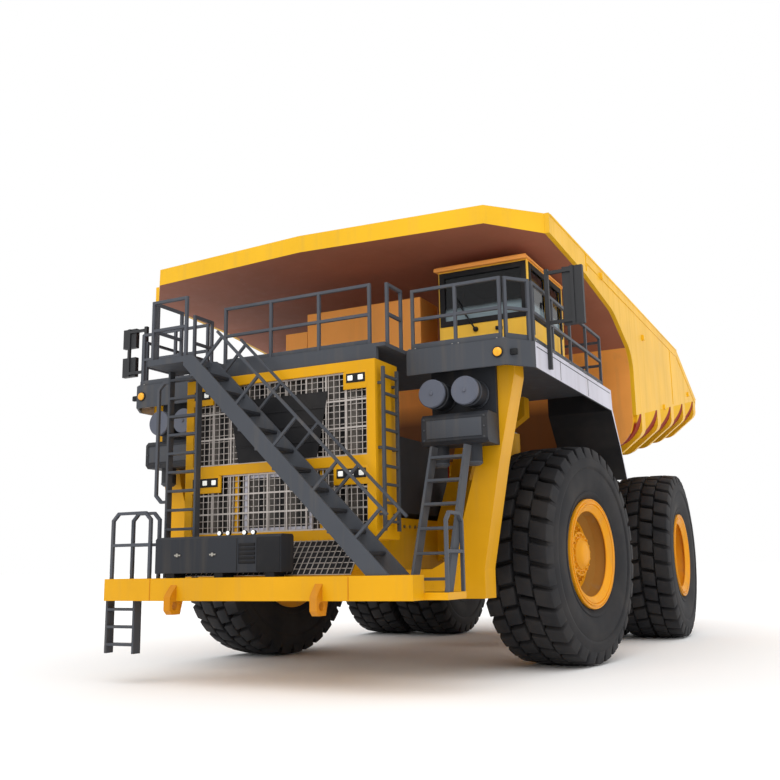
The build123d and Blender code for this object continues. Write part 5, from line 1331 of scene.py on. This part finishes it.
class TRUCK_OT_air_cleaners(bpy.types.Operator):
    """Add lids, bands, dust cups and a bolted panel to the air cleaners"""

    bl_idname = "dump_truck.air_cleaners"
    bl_label = "Air cleaners"

    def execute(self, context):
        caps, bands, bolts = bmesh.new(), bmesh.new(), bmesh.new()
        for x in CLEANERS:
            lathe(caps, CLEANER_LID, (x, CLEANER_END, CLEANER_Z), FORWARD, 48)
            for y in CLEANER_BANDS:
                lathe(bands, CLEANER_BAND, (x, y, CLEANER_Z), FORWARD, 48, closed=True)
            lathe(bands, DUST_CUP, (x, DUST_CUP_Y, DUST_CUP_Z), -UP, 36)
        block(bands, *CLEANER_PANEL, 0.006)
        low, high = PANEL_BOLT_ENDS
        for x in PANEL_BOLTS:
            bolt_row(bolts, (x, CLEANER_END, low), (x, CLEANER_END, high), 3, FORWARD, 0.016, 0.016)
        weld(caps, bands, bolts)
        mirrored(caps, bands, bolts)
        piece("cleaner_caps", caps, "cleaner_paint")
        piece("cleaner_bands", bands, "deck_paint")
        piece("cleaner_bolts", bolts, "deck_paint")
        return {"FINISHED"}


# Stair and decks.
DECK_TOP = 5.12
KICK_TOP = 5.22
STAIR_STEPS = 11
STAIR_FOOT = 1.63
STAIR_START = -1.2
STAIR_RUN = 3.45
TREAD_NOSE = 0.06
TREAD_BACK = 0.28
TREAD_SIDES = (-8.155, -7.585)
NOSE_SIDES = (-8.16, -7.58)
TREAD_BARS = 6
TREAD_BAR_PITCH = 0.052
FRONT_KICK = ((2.03, -6.62, DECK_TOP), (3.52, -6.605, KICK_TOP))
SIDE_KICK = ((3.885, -6.10, DECK_TOP), (3.90, -1.95, KICK_TOP))
MIDDLE_KICK = ((-1.14, -7.27, DECK_TOP), (1.62, -7.255, KICK_TOP))
KICK_LEVEL = (DECK_TOP + KICK_TOP) / 2
CORNER_KICK = ((3.60, -6.58, KICK_LEVEL), (3.88, -6.19, KICK_LEVEL))
FRONT_POSTS = [(2.046 + 0.739 * i, -6.59) for i in range(3)]
SIDE_POSTS = [(3.88, -6.104 + 0.914 * i) for i in range(5)]
FOOT_WIDE = 0.075
FOOT_DEEP = 0.055
FOOT_THICK = 0.014
FOOT_BOLT_X = 0.052
FOOT_BOLT_Y = 0.03
FASCIA = 3.934
FASCIA_ENDS = (-6.14, -1.56)
FASCIA_LINE = (5.040, 5.052)
FASCIA_FOOT = 4.73
FASCIA_JOINTS = (-4.9, -3.2)


class TRUCK_OT_stair(bpy.types.Operator):
    """Lay gratings on the stair's treads"""

    bl_idname = "dump_truck.stair"
    bl_label = "Stair gratings"

    def execute(self, context):
        grating = bmesh.new()
        rise = DECK_TOP - STAIR_FOOT
        outer, inner = TREAD_SIDES
        nose_outer, nose_inner = NOSE_SIDES
        for i in range(1, STAIR_STEPS):
            z = DECK_TOP - i * rise / STAIR_STEPS
            x = STAIR_START + STAIR_RUN * (DECK_TOP - z) / rise + TREAD_NOSE
            for j in range(TREAD_BARS):
                at = x - TREAD_BACK + TREAD_BAR_PITCH * j
                block(grating, (at, outer, z - 0.004), (at + 0.014, inner, z + 0.014))
            block(grating, (x - 0.006, nose_outer, z - 0.035), (x + 0.008, nose_inner, z + 0.016), 0.004)
        piece("stair_gratings", grating, "box_paint")
        return {"FINISHED"}


class TRUCK_OT_decks(bpy.types.Operator):
    """Add kick plates, fascia lines and the feet of the railing posts to the decks"""

    bl_idname = "dump_truck.decks"
    bl_label = "Decks"

    def execute(self, context):
        kick, lines, feet, heads = bmesh.new(), bmesh.new(), bmesh.new(), bmesh.new()
        block(kick, *FRONT_KICK, 0.004)
        square_bar(kick, *CORNER_KICK, KICK_TOP - DECK_TOP, 0.012)
        block(kick, *SIDE_KICK, 0.004)
        mirrored(kick)
        block(kick, *MIDDLE_KICK, 0.004)
        piece("kick_plates", kick, "deck_paint")
        front, back = FASCIA_ENDS
        low, high = FASCIA_LINE
        block(lines, (FASCIA, front, low), (FASCIA + 0.011, back, high), 0.002)
        for y in FASCIA_JOINTS:
            near = (FASCIA, y - 0.005, FASCIA_FOOT)
            block(lines, near, (FASCIA + 0.010, y + 0.005, (low + high) / 2), 0.002)
        mirrored(lines)
        piece("fascia_lines", lines, "box_paint")
        top = DECK_TOP + FOOT_THICK
        for x, y in FRONT_POSTS + SIDE_POSTS:
            near = (x - FOOT_WIDE, y - FOOT_DEEP, DECK_TOP)
            block(feet, near, (x + FOOT_WIDE, y + FOOT_DEEP, top), 0.004)
            for at in (x - FOOT_BOLT_X, x + FOOT_BOLT_X):
                bolt_row(heads, (at, y - FOOT_BOLT_Y, top), (at, y + FOOT_BOLT_Y, top), 2, UP, 0.012, 0.016)
        mirrored(feet, heads)
        piece("post_feet", feet, "rail_paint")
        piece("post_bolts", heads, "zinc_bolt")
        return {"FINISHED"}


# Mirrors: one tall head on the left and two short ones on the right, by their lower and upper edges.
MIRROR_IN = 4.255
MIRROR_OUT = 4.535
LEFT_MIRROR = (5.52, 6.42)
LEFT_MIRROR_Y = -5.462
RIGHT_MIRRORS = ((6.09, 6.43), (5.51, 5.85))
RIGHT_MIRROR_Y = -5.962
MIRROR_THICK = 0.006


class TRUCK_OT_mirrors(bpy.types.Operator):
    """Set the silvered glass on the backs of the mirror heads"""

    bl_idname = "dump_truck.mirrors"
    bl_label = "Mirror glass"

    def execute(self, context):
        glass = bmesh.new()
        low, high = LEFT_MIRROR
        back = LEFT_MIRROR_Y + MIRROR_THICK
        block(glass, (MIRROR_IN, LEFT_MIRROR_Y, low), (MIRROR_OUT, back, high), 0.002)
        back = RIGHT_MIRROR_Y + MIRROR_THICK
        for low, high in RIGHT_MIRRORS:
            block(glass, (-MIRROR_OUT, RIGHT_MIRROR_Y, low), (-MIRROR_IN, back, high), 0.002)
        piece("mirror_glass", glass, "mirror_silver")
        return {"FINISHED"}


# Cab. A window has the axis its wall is square to, the wall's place and outward sense, and its edges.
CAB_FRONT = -5.40
CAB_BACK = -3.40
CAB_OUTER = 3.60
CAB_INNER = 2.00
SILL = 5.85
HEAD = 6.64
CAB_WINDOWS = (
    ("y", CAB_FRONT, -1, 2.10, 3.50, SILL, HEAD),
    ("y", CAB_BACK, 1, 2.20, 3.40, SILL, HEAD),
    ("x", CAB_OUTER, 1, -5.23, -4.45, SILL, HEAD),
    ("x", CAB_OUTER, 1, -4.35, -3.57, SILL, HEAD),
    ("x", CAB_INNER, -1, -5.23, -4.42, SILL, HEAD),
)
DOOR_WINDOW = ("x", CAB_INNER, -1, -4.05, -3.60, SILL, 6.49)
GASKET_WIDE = 0.085
GASKET_LAP = 0.012
GASKET_PROUD = 0.014
DOOR_HANDLE = ((1.955, -3.62, 5.66), (2.005, -3.54, 5.72))
WIPER_HUB = (2.66, CAB_FRONT, 5.66)
WIPER_BOSS = ((0, 0.045), (0.035, 0.04), (0.05, 0.02), (0.052, 0))
WIPER_ARM = ((2.66, -5.435, 5.66), (2.42, -5.425, 6.06))
WIPER_BLADE = ((2.50, -5.412, 5.90), (2.34, -5.412, 6.24))
WASHER = ((3.02, -5.44, 5.60), (3.14, -5.395, 5.66))
VISOR_EDGE = ((1.965, -5.525, 6.73), (3.635, -5.505, 6.80))
GRAB_X = 3.66
GRAB_RADIUS = 0.018
TALL_GRABS = (-5.33, -4.40)
TALL_GRAB_ENDS = (5.45, 6.25)
GRAB_FEET = (5.47, 6.23)
SHORT_GRAB = ((GRAB_X, -3.80, 5.30), (GRAB_X, -3.80, 5.75))
# Seat: size, place and sewn channels of each pad, the channels as shares of its length.
SEAT_PAD = ((0.54, 0.54, 0.12), (2.95, -4.15, 5.53), (-0.2, 0.1))
BACK_PAD = ((0.50, 0.66, 0.10), (2.95, -3.84, 6.0), (-0.22, 0.0, 0.22))
SEAT_BULGE = 0.035
SEAT_BELLY = 0.007
SEAT_PULL = 0.05
CHANNEL_WIDE = 0.025
CHANNEL_DEEP = 0.022
# The outermost ring of a pad's points is squashed and lifted to round its edge.
PAD_RIM = 0.45
RIM_SQUASH = 0.82
RIM_LIFT = 0.1
SEAT_LEAN = math.radians(80)
BELLOWS = ((2.73, -4.37, 5.20), (3.17, -3.93, 5.266))
BELLOWS_FOLDS = 5
BELLOWS_PITCH = 0.064
BELLOWS_INSET = 0.02


def gasket(bm, axis, face, way, a0, a1, low, high):
    """Rubber frame round a window in a wall square to X or Y."""
    near, far = sorted((face - way * GASKET_LAP, face + way * GASKET_PROUD))
    bottom, top = low - GASKET_WIDE, high + GASKET_WIDE
    strips = (
        (a0 - GASKET_WIDE, a0 + GASKET_LAP, bottom, top),
        (a1 - GASKET_LAP, a1 + GASKET_WIDE, bottom, top),
        (a0, a1, bottom, low + GASKET_LAP),
        (a0, a1, high - GASKET_LAP, top),
    )
    for b0, b1, z0, z1 in strips:
        if axis == "y":
            block(bm, (b0, near, z0), (b1, far, z1), 0.006)
        else:
            block(bm, (near, b0, z0), (far, b1, z1), 0.006)


def cushion(bm, size, place, channels, tilt):
    """Crowned pad with pulled-in sides and sewn channels across it."""
    top = bmesh.ops.create_grid(bm, x_segments=16, y_segments=16, size=0.5)["verts"]
    faces = list(dict.fromkeys(face for vert in top for face in vert.link_faces))
    lifted = verts_in(bmesh.ops.extrude_face_region(bm, geom=faces)["geom"])
    for vert in lifted:
        vert.co.z = 1.0
    verts = list(dict.fromkeys(top + lifted))
    for vert in verts:
        u, v, w = vert.co
        crown = (1 - (2 * u) ** 4) * (1 - (2 * v) ** 4)
        waist = (1 - (2 * v) ** 2) * (abs(u) > PAD_RIM) + (1 - (2 * u) ** 2) * (abs(v) > PAD_RIM)
        pull = 1 - SEAT_PULL * waist
        sewn = sum(math.exp(-(((v - c) / CHANNEL_WIDE) ** 2)) for c in channels)
        if w > 0.5:
            height = size[2] + SEAT_BULGE * crown - CHANNEL_DEEP * sewn
        else:
            height = -SEAT_BELLY * crown
        if max(abs(u), abs(v)) > PAD_RIM:
            height = height * RIM_SQUASH + size[2] * RIM_LIFT
        vert.co = (u * size[0] * pull, v * size[1] * pull, height)
    bmesh.ops.transform(bm, matrix=Matrix.Translation(place) @ tilt, verts=verts)


class TRUCK_OT_cab_windows(bpy.types.Operator):
    """Add window rubbers, the door's rubber and handle, and the wiper"""

    bl_idname = "dump_truck.cab_windows"
    bl_label = "Cab windows"

    def execute(self, context):
        rubbers, door, wiper = bmesh.new(), bmesh.new(), bmesh.new()
        for window in CAB_WINDOWS:
            gasket(rubbers, *window)
        piece("window_rubbers", rubbers, "flap_rubber")
        gasket(door, *DOOR_WINDOW)
        block(door, *DOOR_HANDLE, 0.012)
        piece("door_rubber_and_handle", door, "flap_rubber", "door")
        lathe(wiper, WIPER_BOSS, WIPER_HUB, FORWARD, 24)
        bar(wiper, *WIPER_ARM, 0.013, 8)
        bar(wiper, *WIPER_BLADE, 0.012, 6)
        block(wiper, *WASHER, 0.01)
        piece("wiper", wiper, "black_paint")
        return {"FINISHED"}


class TRUCK_OT_cab_trim(bpy.types.Operator):
    """Add grab bars and the visor's edge to the cab"""

    bl_idname = "dump_truck.cab_trim"
    bl_label = "Cab trim"

    def execute(self, context):
        grabs, trim = bmesh.new(), bmesh.new()
        low, high = TALL_GRAB_ENDS
        for y in TALL_GRABS:
            bar(grabs, (GRAB_X, y, low), (GRAB_X, y, high), GRAB_RADIUS, 10)
            for z in GRAB_FEET:
                bar(grabs, (CAB_OUTER - 0.005, y, z), (GRAB_X, y, z), GRAB_RADIUS, 10)
        bar(grabs, *SHORT_GRAB, GRAB_RADIUS, 10)
        piece("cab_grab_bars", grabs, "rail_paint")
        block(trim, *VISOR_EDGE, 0.006)
        piece("roof_visor_trim", trim, "cabinet_enamel")
        return {"FINISHED"}


class TRUCK_OT_seat(bpy.types.Operator):
    """Make the operator's seat and its bellows"""

    bl_idname = "dump_truck.seat"
    bl_label = "Seat"

    def execute(self, context):
        pads, base = bmesh.new(), bmesh.new()
        cushion(pads, *SEAT_PAD, Matrix.Identity(4))
        cushion(pads, *BACK_PAD, Matrix.Rotation(SEAT_LEAN, 4, "X"))
        seat = piece("seat_pads", pads, "seat_cloth", nodes=["cab_seat"], smooth=60)
        low, high = (Vector(corner) for corner in BELLOWS)
        for i in range(BELLOWS_FOLDS):
            inset = Vector((1, 1, 0)) * BELLOWS_INSET * (i % 2)
            lift = UP * BELLOWS_PITCH * i
            block(base, low + lift + inset, high + lift - inset, 0.014)
        piece("seat_bellows", base, "moulded_plastic")
        return {"FINISHED"}


# Dump body: the line of a seam along its side, upright seams by station and ends, and lifting bosses.
BODY_SIDE = 4.10
SEAM_LINE = ((-3.4, 7.16), (5.55, 7.16), (8.15, 6.30))
SEAM_HALF = 0.011
UPRIGHT_SEAMS = ((4.55, 5.72, 7.15), (-3.45, 7.0, 7.34))
BOSSES = ((1.2, 6.75), (6.9, 6.35), (3.2, 5.45), (-2.4, 7.2))
BOSS_HALF = 0.06
TOP_RAIL = ((BODY_SIDE - 0.09, -5.60, 7.33), (BODY_SIDE + 0.012, 5.62, 7.372))
WEAR_PLATES = 4
WEAR_FIRST = 1.2
WEAR_PITCH = 1.7
WEAR_LONG = 1.5
WEAR_HALF = 3.2
FLOOR_THICK = 0.09


class TRUCK_OT_body(bpy.types.Operator):
    """Add rails, seams, lifting bosses and wear plates to the dump body"""

    bl_idname = "dump_truck.body"
    bl_label = "Dump body"

    def execute(self, context):
        seams, wear = bmesh.new(), bmesh.new()
        for (y0, z0), (y1, z1) in zip(SEAM_LINE, SEAM_LINE[1:]):
            way = Vector((0, y1 - y0, z1 - z0))
            turn = Matrix.Rotation(math.atan2(way.z, way.y), 4, "X")
            middle = Vector((BODY_SIDE + 0.004, (y0 + y1) / 2, (z0 + z1) / 2))
            half = Vector((0.008, way.length / 2, SEAM_HALF))
            block(seams, middle - half, middle + half, 0.003, turn)
        for y, low, high in UPRIGHT_SEAMS:
            near = (BODY_SIDE - 0.004, y - SEAM_HALF, low)
            block(seams, near, (BODY_SIDE + 0.012, y + SEAM_HALF, high), 0.003)
        for y, z in BOSSES:
            near = (BODY_SIDE - 0.01, y - BOSS_HALF, z - BOSS_HALF)
            block(seams, near, (BODY_SIDE + 0.05, y + BOSS_HALF, z + BOSS_HALF), 0.012)
        block(seams, *TOP_RAIL, 0.008)
        mirrored(seams)
        piece("body_seams", seams, "body_enamel", "dump_body")
        tilt = Matrix.Rotation(math.atan(FLOOR_SLOPE), 4, "X")
        for i in range(WEAR_PLATES):
            y = WEAR_FIRST + WEAR_PITCH * i
            z = floor_line(y + WEAR_LONG / 2) + FLOOR_THICK
            block(wear, (-WEAR_HALF, y, z - 0.004), (WEAR_HALF, y + WEAR_LONG, z + 0.02), 0.006, tilt)
        piece("bed_wear_plates", wear, "worn_bed_steel", "dump_body")
        return {"FINISHED"}


# Chassis: faces of the frame rails, collars by their place along a hoist's barrel, and tanks by their outer
# face, the side they are on and their lower edge.
BUMPER_BEAD = ((1.752, -8.256, 1.30), (1.768, -8.24, 1.62))
RAIL_FACE = 0.84
RAIL_MIDDLE = 2.45
RAIL_BOLTS = ((-4.6, -3.5), (-1.6, -0.4))
PIVOT_PIN = Vector((1.01, *JOINTS["dump_tilt"]["pos_m"][1:]))
STRUT_TOP = Vector((*JOINTS["steer_left"]["pos_m"][:2], 4.19))
AXLE_CASE = Vector((0, 3.03, 1.92))
COLLARS = (0.35, 1.1, 2.02)
COLLAR = ((0, 0.16), (0, 0.185), (0.06, 0.185), (0.06, 0.16))
TANKS = ((2.64, 1.0, 1.15), (-2.34, -1.0, 1.25))
TANK_TOP = 2.55
TANK_INNER = 0.86
STRAP_HIGH = 2.41
STRAP_LIFT = 0.15
FILLER_Y = 0.5
FILLER_SET = 0.35
STRAPS = (0.15, 0.85)
STRAP_HALF = 0.06
FILLER_CAP = ((0, 0.13), (0.05, 0.13), (0.05, 0.10), (0.11, 0.10), (0.12, 0.08), (0.12, 0))


class TRUCK_OT_bumper(bpy.types.Operator):
    """Run a bead up the bumper at each joint of its plates"""

    bl_idname = "dump_truck.bumper"
    bl_label = "Bumper beads"

    def execute(self, context):
        beads = bmesh.new()
        block(beads, *BUMPER_BEAD, 0.003)
        mirrored(beads)
        piece("bumper_beads", beads, "tow_enamel")
        return {"FINISHED"}


class TRUCK_OT_hoists(bpy.types.Operator):
    """Put collars round the hoists' barrels"""

    bl_idname = "dump_truck.hoists"
    bl_label = "Hoist collars"

    def execute(self, context):
        for side in ("left", "right"):
            foot = Vector(JOINTS["hoist_swing_" + side]["pos_m"])
            way = Vector(JOINTS["hoist_stage_" + side]["axis"])
            collars = bmesh.new()
            for at in COLLARS:
                lathe(collars, COLLAR, foot + way * at, way, 40, closed=True)
            weld(collars)
            body = "hoist_barrel_" + side
            piece(body + "_collars", collars, "cast_iron_skin", body)
        return {"FINISHED"}


class TRUCK_OT_chassis(bpy.types.Operator):
    """Set bolts on the rails, the pivot pins, the struts and the rear axle"""

    bl_idname = "dump_truck.chassis"
    bl_label = "Chassis bolts"

    def execute(self, context):
        bolts = bmesh.new()
        for side in (1, -1):
            out = AXLE * side
            turned = Vector((side, 1, 1))
            face = side * RAIL_FACE
            for first, last in RAIL_BOLTS:
                bolt_row(bolts, (face, first, RAIL_MIDDLE), (face, last, RAIL_MIDDLE), 6, out, 0.028, 0.03)
            bolt_ring(bolts, PIVOT_PIN * turned, out, 0.075, 6, 0.018, 0.022)
            bolt_ring(bolts, STRUT_TOP * turned, UP, 0.17, 12, 0.022, 0.03)
        bolt_ring(bolts, AXLE_CASE, FORWARD, 0.38, 20, 0.024, 0.03)
        piece("chassis_bolts", bolts, "zinc_bolt")
        return {"FINISHED"}


class TRUCK_OT_tanks(bpy.types.Operator):
    """Add straps and filler caps to the tanks"""

    bl_idname = "dump_truck.tanks"
    bl_label = "Tank straps and caps"

    def execute(self, context):
        straps, caps = bmesh.new(), bmesh.new()
        for outer, side, low in TANKS:
            x = outer + side * 0.004
            inner, far = sorted((side * TANK_INNER, outer))
            for y in STRAPS:
                back, front = y - STRAP_HALF, y + STRAP_HALF
                block(straps, (x - 0.008, back, low + STRAP_LIFT), (x + 0.008, front, STRAP_HIGH), 0.003)
                block(straps, (inner, back, TANK_TOP - 0.005), (far, front, TANK_TOP + 0.012), 0.003)
            lathe(caps, FILLER_CAP, (outer - side * FILLER_SET, FILLER_Y, TANK_TOP), UP, 28)
        weld(caps)
        piece("tank_straps", straps, "galvanised_wire")
        piece("tank_caps", caps, "black_paint")
        return {"FINISHED"}


# Stage. A lamp has the way its light falls and how wide it looks, in degrees; the camera has its place, its
# yaw, pitch and roll in degrees, and its focal length in millimetres.
STAGE_HALF = 900
KEY_WAY = (-0.10, 0.62, -0.78)
KEY_SOFT = 50
FILL_WAY = (-0.90, 0.25, -0.36)
FILL_SOFT = 70
CAMERA_PLACE = (8.20, -19.59, 1.73)
CAMERA_TURN = (-26.85, 10.87, -0.98)
CAMERA_LENS = 42.75
CAMERA_SENSOR = 36.0
CAMERA_REACH = 2000


class TRUCK_OT_stage(bpy.types.Operator):
    """Set the floor, the light and the camera"""

    bl_idname = "dump_truck.stage"
    bl_label = "Stage"

    def execute(self, context):
        stage = settings().stage
        scene = context.scene
        scene.view_settings.view_transform = "Standard"
        bm = bmesh.new()
        bmesh.ops.create_grid(bm, x_segments=1, y_segments=1, size=STAGE_HALF)
        mesh = bpy.data.meshes.new("studio_floor")
        bm.to_mesh(mesh)
        bm.free()
        floor = bpy.data.objects.new("studio_floor", mesh)
        scene.collection.objects.link(floor)
        shader = start("studio_floor", 0.9)[1]
        shader.inputs["Specular IOR Level"].default_value = 0.0
        shader.inputs["Base Color"].default_value = list(stage.floor)
        mesh.materials.append(FINISHES["studio_floor"])
        world = bpy.data.worlds.new("studio_sky")
        scene.world = world
        world.use_nodes = True
        tree = world.node_tree
        back = tree.nodes["Background"]
        back.inputs["Color"].default_value = (1, 1, 1, 1)
        ray = add(tree, "ShaderNodeLightPath")
        seen = ray.outputs["Is Camera Ray"]
        for other in ("Is Glossy Ray", "Is Transmission Ray"):
            either = add(tree, "ShaderNodeMath", {0: seen, 1: ray.outputs[other]}, operation="MAXIMUM")
            seen = either.outputs["Value"]
        level = add(tree, "ShaderNodeMapRange", {"Value": seen, "To Min": stage.world, "To Max": 1.0})
        tree.links.new(level.outputs["Result"], back.inputs["Strength"])
        for name, strength, aim, soft in (
            ("key", stage.key, KEY_WAY, KEY_SOFT),
            ("fill", stage.fill, FILL_WAY, FILL_SOFT),
        ):
            lamp = bpy.data.lights.new(name, "SUN")
            lamp.energy = strength
            lamp.angle = math.radians(soft)
            light = bpy.data.objects.new(name, lamp)
            light.rotation_mode = "QUATERNION"
            light.rotation_quaternion = Vector(aim).to_track_quat("-Z", "Y")
            scene.collection.objects.link(light)
        data = bpy.data.cameras.new("camera")
        data.lens = CAMERA_LENS
        data.sensor_width = CAMERA_SENSOR
        data.clip_end = CAMERA_REACH
        camera = bpy.data.objects.new("camera", data)
        yaw, pitch, roll = (math.radians(angle) for angle in CAMERA_TURN)
        way = Vector((math.sin(yaw) * math.cos(pitch), math.cos(yaw) * math.cos(pitch), math.sin(pitch)))
        right = Vector((math.cos(yaw), -math.sin(yaw), 0))
        over = right.cross(way)
        across = right * math.cos(roll) + over * math.sin(roll)
        upward = over * math.cos(roll) - right * math.sin(roll)
        turn = Matrix((across, upward, -way)).transposed().to_4x4()
        camera.matrix_world = Matrix.Translation(CAMERA_PLACE) @ turn
        scene.collection.objects.link(camera)
        scene.camera = camera
        return {"FINISHED"}


OPERATORS = (
    TRUCK_OT_finishes,
    TRUCK_OT_tyres,
    TRUCK_OT_wheels,
    TRUCK_OT_screens,
    TRUCK_OT_shroud,
    TRUCK_OT_apron,
    TRUCK_OT_lamps,
    TRUCK_OT_equipment_box,
    TRUCK_OT_air_cleaners,
    TRUCK_OT_stair,
    TRUCK_OT_decks,
    TRUCK_OT_mirrors,
    TRUCK_OT_cab_windows,
    TRUCK_OT_cab_trim,
    TRUCK_OT_seat,
    TRUCK_OT_body,
    TRUCK_OT_bumper,
    TRUCK_OT_hoists,
    TRUCK_OT_chassis,
    TRUCK_OT_tanks,
    TRUCK_OT_stage,
)


class TRUCK_PT_panel(bpy.types.Panel):
    """Buttons and settings of the dressing"""

    bl_idname = "TRUCK_PT_panel"
    bl_label = "Dump truck"
    bl_space_type = "VIEW_3D"
    bl_region_type = "UI"
    bl_category = "Dump truck"

    def draw(self, context):
        for operator in OPERATORS:
            self.layout.operator(operator.bl_idname)
        for group in ("finish", "tyre", "screen", "stage"):
            values = getattr(context.scene.dump_truck, group)
            for name in values.bl_rna.properties.keys():
                if name not in ("rna_type", "name"):
                    self.layout.prop(values, name)


CLASSES = (
    FinishSettings,
    TyreSettings,
    ScreenSettings,
    StageSettings,
    TruckSettings,
    *OPERATORS,
    TRUCK_PT_panel,
)


def register():
    for item in CLASSES:
        bpy.utils.register_class(item)
    bpy.types.Scene.dump_truck = PointerProperty(type=TruckSettings)


def unregister():
    del bpy.types.Scene.dump_truck
    for item in reversed(CLASSES):
        bpy.utils.unregister_class(item)


def main():
    """Dresses the truck."""
    register()
    for operator in OPERATORS:
        group, name = operator.bl_idname.split(".")
        getattr(getattr(bpy.ops, group), name)()


if __name__ == "__main__":
    main()
